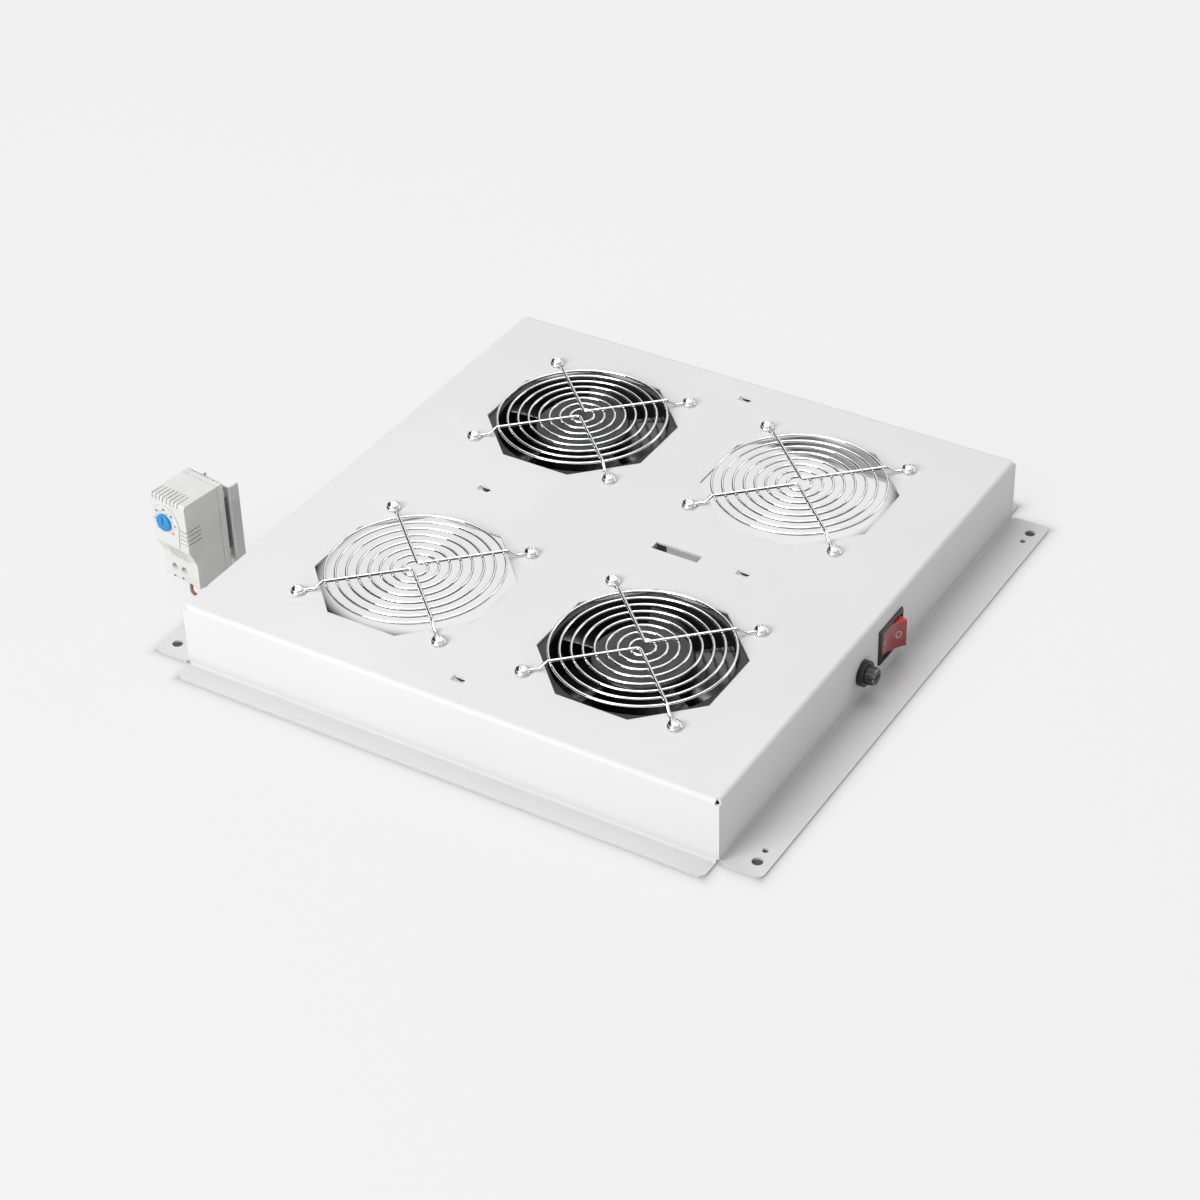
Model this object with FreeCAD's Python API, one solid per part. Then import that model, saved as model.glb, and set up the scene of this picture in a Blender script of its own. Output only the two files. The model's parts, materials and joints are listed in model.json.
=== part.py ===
"""Rack fan tray: a folded sheet tray with two axial fans, two spare fan bays, four wire finger
guards, a rocker switch, a fuse holder and a thermostat on a short lead.  Millimetres.

+Z is up and z = 0 is the underside of the flanges.  The origin is the centre of the tray.
The switch and the fuse holder are in the front wall, which faces -Y.
"""
import FreeCAD, Part
import math
import os

from FreeCAD import Placement, Rotation, Vector

# ---------------------------------------------------------------- folded tray
TRAY_X = 397.0                 # outside of the left and right walls
TRAY_Y = 381.0                 # outside of the front and rear walls
TRAY_H = 46.5                  # underside of the flanges to the top face
SHEET = 1.5                    # steel sheet
TOP_BEND = 3.0                 # outside radius of the folds round the top
FOOT_BEND = 2.0                # inside radius of the folds above the flanges
END_FLANGE = 27.5              # front and rear flanges, from the wall
SIDE_FLANGE = 15.5             # left and right flanges, from the wall
FLANGE_CORNER_R = 4.5
SIDE_FLANGE_CUT = 3.0         # 45 degree cut at the ends of the side flanges
SEAM = 0.2                     # open seam where two walls meet
BOLT_D = 7.0                   # flange bolt holes
BOLT_X = 373.0
BOLT_Y = 418.0
PILOT_D = 4.0                  # small holes beside the bolt holes
PILOT_X = 352.0
PILOT_Y = 417.0

# ---------------------------------------------------------------- fan bays
BAY_X = 200.0                  # bay centre to bay centre
BAY_Y = 165.0
OCTAGON_MARGIN = 0.5           # from the edge of a fan to the flats of the opening
SCREW_PITCH = 105.0            # fan screw square
SCREW_D = 4.0
SCREW_HOLE_D = 4.5
HEAD_D = 8.0
HEAD_H = 2.6
NUT_FLATS = 7.0
NUT_H = 3.2
SCREW_SPARE = 0.8              # thread past the nut

# ---------------------------------------------------------------- openings in the top
SLOT_X = 7.5                   # terminal lug folded down out of this slot
SLOT_Y = 33.0
SLOT_CENTRE_Y = -48.5
BRIDGE_W = 5.0                 # cable tie bridges, pressed inwards
BRIDGE_L = 9.0
BRIDGE_DEPTH = 3.0
BRIDGE_SLIT = 0.35
BRIDGE_SIDE_X = 176.5
BRIDGE_END_Y = 96.0

# ---------------------------------------------------------------- finger guards
RING_COUNT = 8
RING_INNER_R = 8.0             # centre line of the inner ring
RING_INSET = 3.0               # from the flats of the opening to that of the outer ring
RING_WIRE_D = 1.8
LEG_WIRE_D = 2.2
WELD_SINK = 0.3                # how far the welded wires run into each other
RING_LIFT = 4.0                # ring centre line above the sheet
ELBOW_OFFSET = 3.0             # elbow of each leg wire from the guard centre
ELBOW_R = 3.0
CRANK_R = 2.2
CRANK_CLEAR = 3.0              # from the outer ring to the crank, along the leg
CRANK_RUN = 5.5
EYELET_R = 3.7                 # centre line of the eyelets round the screws

# ---------------------------------------------------------------- fans
FAN_EDGE = 7.0                 # from the screws to the edge of the frame
FAN_DEPTH = 38.0
FAN_PLATE = 4.5                # end plates of the fan frame
FAN_CORNER_R = 4.0
FAN_HOLE_D = 4.3
BARREL_WALL = 2.0
THROAT_RIM = 2.3               # from the throat to the edge of the frame
LIP_R = 1.6                    # rounded lips at both ends of the throat
STRUT_COUNT = 4
STRUT_W = 5.0
STRUT_H = 3.5
MOTOR_BASE_R = 31.0
MOTOR_BASE_H = 3.0
BEARING_TUBE_R = 6.5
BEARING_R = 5.0
BEARING_H = 4.0
SHAFT_R = 2.0
RUNNING_GAP = 0.05             # radial gap of every running fit
HUB_R = 32.0
HUB_WALL = 1.8
HUB_EDGE_R = 2.5
HUB_INSET = 0.8                # hub face below the face of the frame
HUB_BASE_GAP = 2.0             # hub rim above the motor base
BLADE_COUNT = 5
BLADE_TIP_GAP = 1.2
BLADE_THICK = 1.8
BLADE_ROOT_CHORD = 38.0
BLADE_TIP_CHORD = 56.0
BLADE_ROOT_PITCH = 42.0        # degrees from the plane of rotation
BLADE_TIP_PITCH = 27.0
BLADE_CAMBER = 0.09            # of the chord
STATOR_R = 24.0
STATOR_H = 14.0
COIL_H = 4.0
CAGE_WALL = 3.0
CAGE_GAP = 0.6                 # between the stator and the cage that turns round it
TAB_W = 4.8                    # blade terminals
TAB_T = 0.8
TAB_L = 8.0

# ---------------------------------------------------------------- rocker switch
SWITCH_X = 16.4                # centre of the switch along the front wall
SWITCH_Z = 22.3
BEZEL_X = 31.0
BEZEL_Z = 25.6
BEZEL_T = 2.0
BEZEL_BEVEL = 1.2
SWITCH_BODY_X = 28.2
SWITCH_BODY_Z = 22.0
SWITCH_BODY_DEPTH = 20.0
SWITCH_WALL = 0.7
CUTOUT_GAP = 0.1               # round the switch body and the fuse barrel
ROCKER_HALF = 11.2             # half the rocker's length
ROCKER_SIDE_GAP = 0.35
ROCKER_END_RISE = 8.8          # rocker ends above its pivot
ROCKER_MID_RISE = 5.9
ROCKER_TILT = 16.0             # degrees each way from level
ROCKER_WALL = 1.3
PIVOT_DEPTH = 4.0              # pivot behind the outer face of the wall
PIVOT_R = 1.5
SPADE_W = 6.3
SPADE_T = 0.8
SPADE_L = 9.0
LAMP_R = 1.8
LAMP_L = 8.0

# ---------------------------------------------------------------- fuse holder
FUSE_X = -20.7
FUSE_Z = 19.0
FUSE_FLANGE_D = 17.0
FUSE_FLANGE_T = 4.3
FUSE_BARREL_D = 12.0
FUSE_BARREL_L = 27.0
FUSE_NUT_FLATS = 16.0
FUSE_NUT_T = 3.5
CAP_D = 12.4
CAP_END_D = 11.2
CAP_L = 6.0
CAP_RIBS = 12
CAP_RIB_R = 0.7
CAP_STEM_D = 8.4
CAP_STEM_L = 9.0
FUSE_D = 5.0
FUSE_L = 20.0
FUSE_CAP_L = 5.0
FUSE_CAP_WALL = 0.35

# ---------------------------------------------------------------- glands in the rear wall
LEAD_D = 5.0                   # thermostat lead
LEAD_HOLE_X = 150.0
LEAD_HOLE_Z = 12.0
MAINS_D = 7.2                  # free bore for a mains lead
MAINS_HOLE_X = -60.0
MAINS_HOLE_Z = 20.0
BUSH_WALL = 2.0
BUSH_LIP = 2.2                 # lip each side of the sheet, outwards and thick

# ---------------------------------------------------------------- terminal block on the lug
BLOCK_WAYS = 4
BLOCK_PITCH = 9.0
BLOCK_DEPTH = 15.0
BLOCK_H = 18.0
BLOCK_DROP = 4.0               # top of the block below the sheet
CONTACT_D = 5.0
CONTACT_BORE_D = 3.4
LUG_SCREW_D = 3.0
EARTH_SCREW_D = 4.0
EARTH_SCREW_UP = 4.5           # earth screw above the end of the lug

# ---------------------------------------------------------------- thermostat
STAT_X = -108.7                # middle of the housing's rear lower edge
STAT_BEHIND = 45.1             # that edge from the rear wall
STAT_Z = 9.0
STAT_YAW = -7.7
STAT_W = 30.5
STAT_D = 36.2
STAT_H = 67.0
STAT_REAR = 7.0                # depth of the rear shell
STAT_EDGE_R = 1.6
REAR_EDGE_R = 3.0              # rear edges of the rear shell
SPLIT_GROOVE = 0.45            # groove between the two shells, deep and wide
STAT_SETBACK = 5.4             # lower front behind the upper front
STAT_STEP_TOP = 31.0
STAT_STEP_LOW = 19.0
ARCH_Y = 3.6
ARCH_Z = 48.8
ARCH_R = 12.4
ARCH_RISE = 0.7
ARCH_BOTTOM = 32.0
DIAL_R = 6.1
DIAL_H = 1.6
DIAL_SHAFT_R = 2.0
DIAL_SHAFT_L = 9.0
DIAL_FACE_GAP = 0.3
DIAL_SLOT_W = 1.2
DIAL_SLOT_DEPTH = 0.7
VENT_COUNT = 8
VENT_PITCH = 3.2
VENT_W = 0.9
VENT_FIRST_Y = -9.6
VENT_DOWN = 3.6
VENT_BACK = 11.0
VENT_DEPTH = 1.0
SIDE_VENT_COUNT = 4
SIDE_VENT_PITCH = 3.2
SIDE_VENT_Z = 36.8
SIDE_VENT_BACK = 12.0
STEP_VENT_COUNT = 6
STEP_VENT_PITCH = 2.6
STEP_VENT_FIRST_Y = -7.4
REAR_NOTCH_COUNT = 9
REAR_NOTCH_PITCH = 2.8
REAR_NOTCH_W = 1.0
TERMINAL_Y = 2.2
TERMINAL_PITCH = 8.4
TERMINAL_Z = 9.5
TERMINAL_HOLE_R = 2.5
TERMINAL_HOLE_DEPTH = 6.0
TERMINAL_SCREW_R = 2.1
TERMINAL_SCREW_L = 4.0
BRACKET_GAP = 3.2              # between the rear shell and the bracket
BRACKET_T = 1.2
BRACKET_DEPTH = 8.4
BRACKET_TOP = 60.5
BRACKET_LEFT_TOP = 56.5        # the left side of the bracket is cut lower
HOOK_W = 22.0
HOOK_H = 5.5
HOOK_Z = (9.6, 54.8)
HOOK_GAP = 0.1
BIMETAL_L = 26.0
BIMETAL_W = 6.0
BIMETAL_T = 0.6

# ---------------------------------------------------------------- thermostat lead
CORE_D = 2.2
CORE_REACH = 4.5               # how far the inner cores go into the terminal block
TIE_W = 2.5                    # cable tie round the lead and a bridge
TIE_T = 0.9
TIE_GAP = 0.15                 # between the tie and what it holds
TIE_TAIL = 7.0
BROWN_ENTRY = Vector(-29.2, -5.2, 0.0)   # where the cores enter, in the thermostat's own axes
BLUE_ENTRY = Vector(-23.4, -12.6, 0.0)

# ---------------------------------------------------------------- worked out from the sizes above
HALF_X = TRAY_X / 2
HALF_Y = TRAY_Y / 2
PLATE_UNDER = TRAY_H - SHEET
FAN_TOP = PLATE_UNDER
FAN_BASE = FAN_TOP - FAN_DEPTH
STAT_AT = Vector(STAT_X, HALF_Y + STAT_BEHIND, STAT_Z)
SCREW_OFF = SCREW_PITCH / 2
FAN_SIZE = SCREW_PITCH + 2 * FAN_EDGE
THROAT_R = FAN_SIZE / 2 - THROAT_RIM
OCTAGON_FLAT_R = FAN_SIZE / 2 + OCTAGON_MARGIN
OCTAGON_R = OCTAGON_FLAT_R / math.cos(math.pi / 8)
RING_OUTER_R = OCTAGON_FLAT_R - RING_INSET
RING_PITCH = (RING_OUTER_R - RING_INNER_R) / (RING_COUNT - 1)
CRANK_START = RING_OUTER_R + CRANK_CLEAR
CRANK_END = CRANK_START + CRANK_RUN
RING_Z = TRAY_H + RING_LIFT
LEG_Z = RING_Z + (RING_WIRE_D + LEG_WIRE_D) / 2 - WELD_SINK
EYELET_Z = TRAY_H + LEG_WIRE_D / 2
HEAD_Z = TRAY_H + LEG_WIRE_D
BAYS = {
    "front_left": Vector(-BAY_X / 2, -BAY_Y / 2, 0),
    "front_right": Vector(BAY_X / 2, -BAY_Y / 2, 0),
    "rear_left": Vector(-BAY_X / 2, BAY_Y / 2, 0),
    "rear_right": Vector(BAY_X / 2, BAY_Y / 2, 0),
}
FAN_BAYS = ("front_left", "rear_right")
SPARE_BAYS = ("front_right", "rear_left")
X = Vector(1, 0, 0)
Y = Vector(0, 1, 0)
Z = Vector(0, 0, 1)
NONE = Vector(0, 0, 0)


# ---------------------------------------------------------------- small helpers
def box(x0, x1, y0, y1, z0, z1):
    """Box between two corners."""
    return Part.makeBox(x1 - x0, y1 - y0, z1 - z0, Vector(x0, y0, z0))


def rod(radius, start, end):
    """Solid cylinder between two points."""
    start, end = Vector(start), Vector(end)
    return Part.makeCylinder(radius, (end - start).Length, start, end - start)


def pipe(outer, inner, start, end):
    """Hollow cylinder between two points."""
    return rod(outer, start, end).cut(rod(inner, start, end))


def line(a, b):
    return Part.LineSegment(Vector(a), Vector(b)).toShape()


def arc(a, mid, b):
    return Part.Arc(Vector(a), Vector(mid), Vector(b)).toShape()


def prism(points, along):
    """Extrude a closed flat polygon along a vector."""
    face = Part.Face(Part.makePolygon([*points, points[0]]))
    return face.extrude(along)


def hexagon(flats, height, base, axis=Z):
    """Hexagonal prism standing on a point."""
    corner = flats / 2 / math.cos(math.pi / 6)
    ring = [Vector(corner * math.cos(k * math.pi / 3), corner * math.sin(k * math.pi / 3), 0)
            for k in range(6)]
    solid = prism(ring, Vector(0, 0, height))
    solid.Placement = Placement(base, Rotation(Z, axis))
    return solid


def turned(points, axis=Z):
    """Solid of revolution about Z from (radius, z) points joined by straight lines."""
    wire = Part.makePolygon([Vector(r, 0, z) for r, z in [*points, points[0]]])
    solid = Part.Face(wire).revolve(NONE, Z, 360)
    if axis != Z:
        solid.Placement = Placement(NONE, Rotation(Z, axis))
    return solid


def moved(shape, offset):
    copy = shape.copy()
    copy.translate(Vector(offset))
    return copy


def fused(shapes):
    """One solid from several that meet, with shared faces merged."""
    shapes = list(shapes)
    if len(shapes) == 1:
        return shapes[0]
    return shapes[0].multiFuse(shapes[1:]).removeSplitter()


def group(shapes):
    """Separate solids kept together in one node."""
    return Part.makeCompound(list(shapes))


def quarters(radius, centre=NONE):
    """The four corners of a square of screw holes."""
    return [centre + Vector(sx * radius, sy * radius, 0) for sx in (-1, 1) for sy in (-1, 1)]


def rounded_path(points, radii):
    """Straight runs joined by tangent arcs, one radius for each inner point."""
    points = [Vector(p) for p in points]
    edges, start = [], points[0]
    for before, corner, after, radius in zip(points, points[1:], points[2:], radii):
        back = (before - corner).normalize()
        on = (after - corner).normalize()
        half = back.getAngle(on) / 2
        reach = radius / math.tan(half)
        centre = corner + (back + on).normalize() * (radius / math.sin(half))
        first, last = corner + back * reach, corner + on * reach
        middle = centre + (corner - centre).normalize() * radius
        edges += [line(start, first), arc(first, middle, last)]
        start = last
    edges.append(line(start, points[-1]))
    return Part.Wire(edges)


def swept(path, radius):
    """Round wire along a path."""
    first = path.Edges[0]
    start = first.valueAt(first.FirstParameter)
    section = Part.Wire(Part.makeCircle(radius, start, first.tangentAt(first.FirstParameter)))
    return path.makePipeShell([section], True, False)


# ---------------------------------------------------------------- tray
def wall_profile(half, flange):
    """Fold, wall, fold and flange of one side, in (outward, 0, up)."""
    top, inner = TRAY_H - TOP_BEND, TOP_BEND - SHEET
    foot, foot_out = SHEET + FOOT_BEND, FOOT_BEND + SHEET
    diag = math.sqrt(0.5)

    def at(outward, up):
        return Vector(outward, 0, up)

    bend = half - TOP_BEND
    toe = half + FOOT_BEND
    edges = [
        arc(at(bend, TRAY_H), at(bend + TOP_BEND * diag, top + TOP_BEND * diag), at(half, top)),
        line(at(half, top), at(half, foot)),
        arc(at(half, foot), at(toe - FOOT_BEND * diag, foot - FOOT_BEND * diag), at(toe, SHEET)),
        line(at(toe, SHEET), at(half + flange, SHEET)),
        line(at(half + flange, SHEET), at(half + flange, 0)),
        line(at(half + flange, 0), at(toe, 0)),
        arc(at(toe, 0), at(toe - foot_out * diag, foot - foot_out * diag), at(half - SHEET, foot)),
        line(at(half - SHEET, foot), at(half - SHEET, top)),
        arc(at(half - SHEET, top), at(bend + inner * diag, top + inner * diag),
            at(bend, TRAY_H - SHEET)),
        line(at(bend, TRAY_H - SHEET), at(bend, TRAY_H)),
    ]
    return Part.Face(Part.Wire(edges))


def side_wall():
    """Right-hand wall and flange, before its mirror image is made."""
    wall = wall_profile(HALF_X, SIDE_FLANGE)
    wall.translate(Vector(0, -HALF_Y, 0))
    solid = wall.extrude(Vector(0, TRAY_Y, 0))
    tip = HALF_X + SIDE_FLANGE
    for sign in (-1, 1):
        y0, y1 = sorted((sign * (HALF_Y - SHEET - SEAM), sign * (HALF_Y + 1)))
        solid = solid.cut(box(HALF_X - SHEET - SEAM, tip + 1, y0, y1, -1, SHEET + FOOT_BEND))
        end = sign * (HALF_Y - SHEET - SEAM)
        corner = [Vector(tip + 1, end, -1), Vector(tip + 1, end - sign * (SIDE_FLANGE_CUT + 1), -1),
                  Vector(tip - SIDE_FLANGE_CUT, end, -1)]
        solid = solid.cut(prism(corner, Vector(0, 0, SHEET + 2)))
    return solid


def end_wall():
    """Rear wall and flange, before its mirror image is made."""
    wall = wall_profile(HALF_Y, END_FLANGE)
    wall.rotate(NONE, Z, 90)
    wall.translate(Vector(-HALF_X, 0, 0))
    solid = wall.extrude(Vector(TRAY_X, 0, 0))
    for sign in (-1, 1):
        x0, x1 = sorted((sign * (HALF_X - SHEET - SEAM), sign * (HALF_X + 1)))
        solid = solid.cut(box(x0, x1, HALF_Y - TOP_BEND - 1, HALF_Y + FOOT_BEND, -1, TRAY_H + 1))
    tips = [e for e in solid.Edges if abs(e.BoundBox.ZLength - SHEET) < 0.01
            and abs(abs(e.BoundBox.XMin) - HALF_X) < 0.01
            and abs(e.BoundBox.YMin - HALF_Y - END_FLANGE) < 0.01]
    return solid.makeFillet(FLANGE_CORNER_R, tips)


def corner_reliefs():
    """Square notches where the top folds would meet."""
    notches = []
    for sx in (-1, 1):
        for sy in (-1, 1):
            x0, x1 = sorted((sx * (HALF_X - TOP_BEND), sx * (HALF_X + 1)))
            y0, y1 = sorted((sy * (HALF_Y - TOP_BEND), sy * (HALF_Y + 1)))
            notches.append(box(x0, x1, y0, y1, TRAY_H - TOP_BEND, TRAY_H + 1))
    return notches


def octagon_cut(centre):
    ring = [centre + Vector(OCTAGON_R * math.cos(a), OCTAGON_R * math.sin(a), PLATE_UNDER - 1)
            for a in (math.pi / 8 + k * math.pi / 4 for k in range(8))]
    return prism(ring, Vector(0, 0, SHEET + 2))


def bridge_centres():
    return [Vector(-BRIDGE_SIDE_X, 0, 0), Vector(BRIDGE_SIDE_X, 0, 0),
            Vector(0, -BRIDGE_END_Y, 0), Vector(0, BRIDGE_END_Y, 0)]


def tie_bridge(centre):
    """Strip pressed down between two slits, so that a cable tie goes round it."""
    end, low = BRIDGE_L / 2, TRAY_H - BRIDGE_DEPTH
    x = -BRIDGE_W / 2 + BRIDGE_SLIT
    edges = [
        arc((x, -end, TRAY_H), (x, 0, low), (x, end, TRAY_H)),
        line((x, end, TRAY_H), (x, end, PLATE_UNDER)),
        arc((x, end, PLATE_UNDER), (x, 0, low - SHEET), (x, -end, PLATE_UNDER)),
        line((x, -end, PLATE_UNDER), (x, -end, TRAY_H)),
    ]
    strip = Part.Face(Part.Wire(edges)).extrude(Vector(BRIDGE_W - 2 * BRIDGE_SLIT, 0, 0))
    return moved(strip, centre)


def terminal_lug():
    """Strip folded down at the rear end of the slot, with holes for the block and the earth."""
    y = SLOT_CENTRE_Y + SLOT_Y / 2
    lug = box(-SLOT_X / 2, SLOT_X / 2, y, y + SHEET, lug_end(), TRAY_H - SHEET / 2)
    for radius, height in ((LUG_SCREW_D / 2, block_centre_z()), (EARTH_SCREW_D / 2, earth_z())):
        lug = lug.cut(rod(radius, (0, y - 1, height), (0, y + SHEET + 1, height)))
    return lug


def lug_end():
    return PLATE_UNDER - SLOT_Y + SHEET


def block_centre_z():
    return PLATE_UNDER - BLOCK_DROP - BLOCK_H / 2


def earth_z():
    return lug_end() + EARTH_SCREW_UP


def tray_shell():
    """Top plate, four folded walls with flanges, and every cut-out."""
    right, rear = side_wall(), end_wall()
    walls = [right, right.mirror(NONE, X), rear, rear.mirror(NONE, Y)]
    plate = box(TOP_BEND - HALF_X, HALF_X - TOP_BEND, TOP_BEND - HALF_Y, HALF_Y - TOP_BEND,
                PLATE_UNDER, TRAY_H)
    shell = fused([plate, *walls])
    cuts = corner_reliefs()
    under, over = PLATE_UNDER - 1, TRAY_H + 1
    for centre in BAYS.values():
        cuts.append(octagon_cut(centre))
        for p in quarters(SCREW_OFF, centre):
            cuts.append(rod(SCREW_HOLE_D / 2, (p.x, p.y, under), (p.x, p.y, over)))
    cuts.append(box(-SLOT_X / 2, SLOT_X / 2, SLOT_CENTRE_Y - SLOT_Y / 2,
                    SLOT_CENTRE_Y + SLOT_Y / 2, under, over))
    for c in bridge_centres():
        cuts.append(box(c.x - BRIDGE_W / 2, c.x + BRIDGE_W / 2, c.y - BRIDGE_L / 2,
                        c.y + BRIDGE_L / 2, under, over))
    for sx in (-1, 1):
        for sy in (-1, 1):
            for x, y, d in ((BOLT_X / 2, BOLT_Y / 2, BOLT_D), (PILOT_X / 2, PILOT_Y / 2, PILOT_D)):
                cuts.append(rod(d / 2, (sx * x, sy * y, -1), (sx * x, sy * y, SHEET + 1)))
    cuts += wall_cuts()
    shell = shell.cut(Part.makeCompound(cuts))
    return fused([shell, terminal_lug(), *[tie_bridge(c) for c in bridge_centres()]])


def wall_cuts():
    """Cut-outs for the switch, the fuse holder and the two bushes."""
    y0, y1 = -HALF_Y - 1, -HALF_Y + SHEET + 1
    half_x = SWITCH_BODY_X / 2 + CUTOUT_GAP
    half_z = SWITCH_BODY_Z / 2 + CUTOUT_GAP
    switch = box(SWITCH_X - half_x, SWITCH_X + half_x, y0, y1, SWITCH_Z - half_z, SWITCH_Z + half_z)
    fuse = rod(FUSE_BARREL_D / 2 + CUTOUT_GAP, (FUSE_X, y0, FUSE_Z), (FUSE_X, y1, FUSE_Z))
    bushes = [rod(bush_neck(d), (x, HALF_Y - SHEET - 1, z), (x, HALF_Y + 1, z))
              for d, x, z in bush_places()]
    return [switch, fuse, *bushes]


# ---------------------------------------------------------------- finger guards
def guard_leg(side):
    """One bent wire: eyelet to elbow to eyelet, cranked down outside the rings."""
    elbow = Vector(side * ELBOW_OFFSET, 0, LEG_Z)
    points, radii = [], []
    for sy in (1, -1):
        screw = Vector(side * SCREW_OFF, sy * SCREW_OFF, 0)
        flat = Vector(elbow.x, elbow.y, 0)
        out = (screw - flat).normalize()
        run = (screw - flat).Length
        tail = flat + out * (run - EYELET_R) + Vector(0, 0, EYELET_Z)
        low = flat + out * (CRANK_END - ELBOW_OFFSET) + Vector(0, 0, EYELET_Z)
        high = flat + out * (CRANK_START - ELBOW_OFFSET) + Vector(0, 0, LEG_Z)
        half = [tail, low, high]
        points += half if sy == 1 else [elbow, *reversed(half)]
        radii += [CRANK_R, CRANK_R] if sy == 1 else [ELBOW_R, CRANK_R, CRANK_R]
    return swept(rounded_path(points, radii), LEG_WIRE_D / 2)


def finger_guard():
    """Eight welded rings, two bent leg wires and four eyelets, centred on the origin."""
    rings = [Part.makeTorus(RING_OUTER_R - k * RING_PITCH, RING_WIRE_D / 2, Vector(0, 0, RING_Z))
             for k in range(RING_COUNT)]
    eyelets = [Part.makeTorus(EYELET_R, LEG_WIRE_D / 2, Vector(p.x, p.y, EYELET_Z))
               for p in quarters(SCREW_OFF)]
    return fused([guard_leg(1), guard_leg(-1), *rings, *eyelets])


def pan_screw(diameter, head_d, head_h, length):
    """Pan head screw, head face down at z = 0 and shank along -Z."""
    hr, side = head_d / 2, head_h * 0.45
    dome_r = (hr ** 2 + (head_h - side) ** 2) / (2 * (head_h - side))
    dome = Part.makeSphere(dome_r, Vector(0, 0, head_h - dome_r))
    head = rod(hr, (0, 0, 0), (0, 0, head_h + 1)).common(dome)
    return fused([head, rod(diameter / 2, (0, 0, -length), (0, 0, side))])


def bay_screws(bays, nut_top):
    """Screws of the bays: through the eyelets, the sheet and whatever lies over the nuts."""
    length = HEAD_Z - nut_top + NUT_H + SCREW_SPARE
    screw = pan_screw(SCREW_D, HEAD_D, HEAD_H, length)
    return group(moved(screw, p + Vector(0, 0, HEAD_Z))
                 for bay in bays for p in quarters(SCREW_OFF, BAYS[bay]))


def bay_nuts(bays, nut_top):
    nut = hexagon(NUT_FLATS, NUT_H, NONE).cut(rod(SCREW_D / 2, (0, 0, -1), (0, 0, NUT_H + 1)))
    return group(moved(nut, p + Vector(0, 0, nut_top - NUT_H))
                 for bay in bays for p in quarters(SCREW_OFF, BAYS[bay]))


# ---------------------------------------------------------------- fan
def rounded_square(size, radius, z0, height):
    half = size / 2
    block = box(-half, half, -half, half, z0, z0 + height)
    upright = [e for e in block.Edges if abs(e.BoundBox.ZLength - height) < 0.01
               and e.BoundBox.XLength < 0.01 and e.BoundBox.YLength < 0.01]
    return block.makeFillet(radius, upright)


def throat():
    """Bore through the frame, opened out by rounded lips at both ends."""
    top, base, wide = FAN_TOP, FAN_BASE, THROAT_R + LIP_R
    diag = LIP_R * (1 - math.sqrt(0.5))
    edges = [
        line((0, 0, base - 1), (wide, 0, base - 1)),
        line((wide, 0, base - 1), (wide, 0, base)),
        arc((wide, 0, base), (THROAT_R + diag, 0, base + diag), (THROAT_R, 0, base + LIP_R)),
        line((THROAT_R, 0, base + LIP_R), (THROAT_R, 0, top - LIP_R)),
        arc((THROAT_R, 0, top - LIP_R), (THROAT_R + diag, 0, top - diag), (wide, 0, top)),
        line((wide, 0, top), (wide, 0, top + 1)),
        line((wide, 0, top + 1), (0, 0, top + 1)),
        line((0, 0, top + 1), (0, 0, base - 1)),
    ]
    return Part.Face(Part.Wire(edges)).revolve(NONE, Z, 360)


def fan_frame():
    """Two end plates on a barrel, struts and a motor base with its bearing tube."""
    plates = [rounded_square(FAN_SIZE, FAN_CORNER_R, z, FAN_PLATE)
              for z in (FAN_BASE, FAN_TOP - FAN_PLATE)]
    barrel = rod(THROAT_R + BARREL_WALL, (0, 0, FAN_BASE), (0, 0, FAN_TOP))
    frame = fused([*plates, barrel]).cut(throat())
    holes = [rod(FAN_HOLE_D / 2, (p.x, p.y, FAN_BASE - 1), (p.x, p.y, FAN_TOP + 1))
             for p in quarters(SCREW_OFF)]
    frame = frame.cut(Part.makeCompound(holes))
    base = rod(MOTOR_BASE_R, (0, 0, FAN_BASE), (0, 0, FAN_BASE + MOTOR_BASE_H))
    boss = rod(BEARING_TUBE_R, (0, 0, FAN_BASE), (0, 0, bearing_tube_top()))
    struts = []
    for k in range(STRUT_COUNT):
        strut = box(MOTOR_BASE_R - 2, THROAT_R + BARREL_WALL / 2, -STRUT_W / 2, STRUT_W / 2,
                    FAN_BASE, FAN_BASE + STRUT_H)
        strut.rotate(NONE, Z, 20 + 360 / STRUT_COUNT * k)
        struts.append(strut)
    frame = fused([frame, base, boss, *struts])
    seat = rod(BEARING_R, (0, 0, FAN_BASE + 1), (0, 0, FAN_TOP))
    return frame.cut(seat)


def bearing_tube_top():
    return FAN_BASE + MOTOR_BASE_H + STATOR_H + 2 * COIL_H


def fan_bearings():
    """Two bearings in the ends of the bearing tube."""
    low = FAN_BASE + 1
    return group(pipe(BEARING_R, SHAFT_R + RUNNING_GAP, (0, 0, z), (0, 0, z + BEARING_H))
                 for z in (low, bearing_tube_top() - BEARING_H))


def fan_stator():
    """Laminated core with six pole gaps between two wound rings, on the bearing tube."""
    z0 = FAN_BASE + MOTOR_BASE_H
    core = pipe(STATOR_R, BEARING_TUBE_R, (0, 0, z0 + COIL_H), (0, 0, z0 + COIL_H + STATOR_H))
    for k in range(6):
        gap = box(STATOR_R * 0.45, STATOR_R + 1, -1.4, 1.4, z0, z0 + 2 * COIL_H + STATOR_H)
        gap.rotate(NONE, Z, 60 * k)
        core = core.cut(gap)
    coils = [pipe(STATOR_R - 3, BEARING_TUBE_R, (0, 0, z), (0, 0, z + COIL_H))
             for z in (z0, z0 + COIL_H + STATOR_H)]
    return fused([core, *coils])


def hub_base():
    return FAN_BASE + MOTOR_BASE_H + HUB_BASE_GAP


def hub_top():
    return FAN_TOP - HUB_INSET


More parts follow.
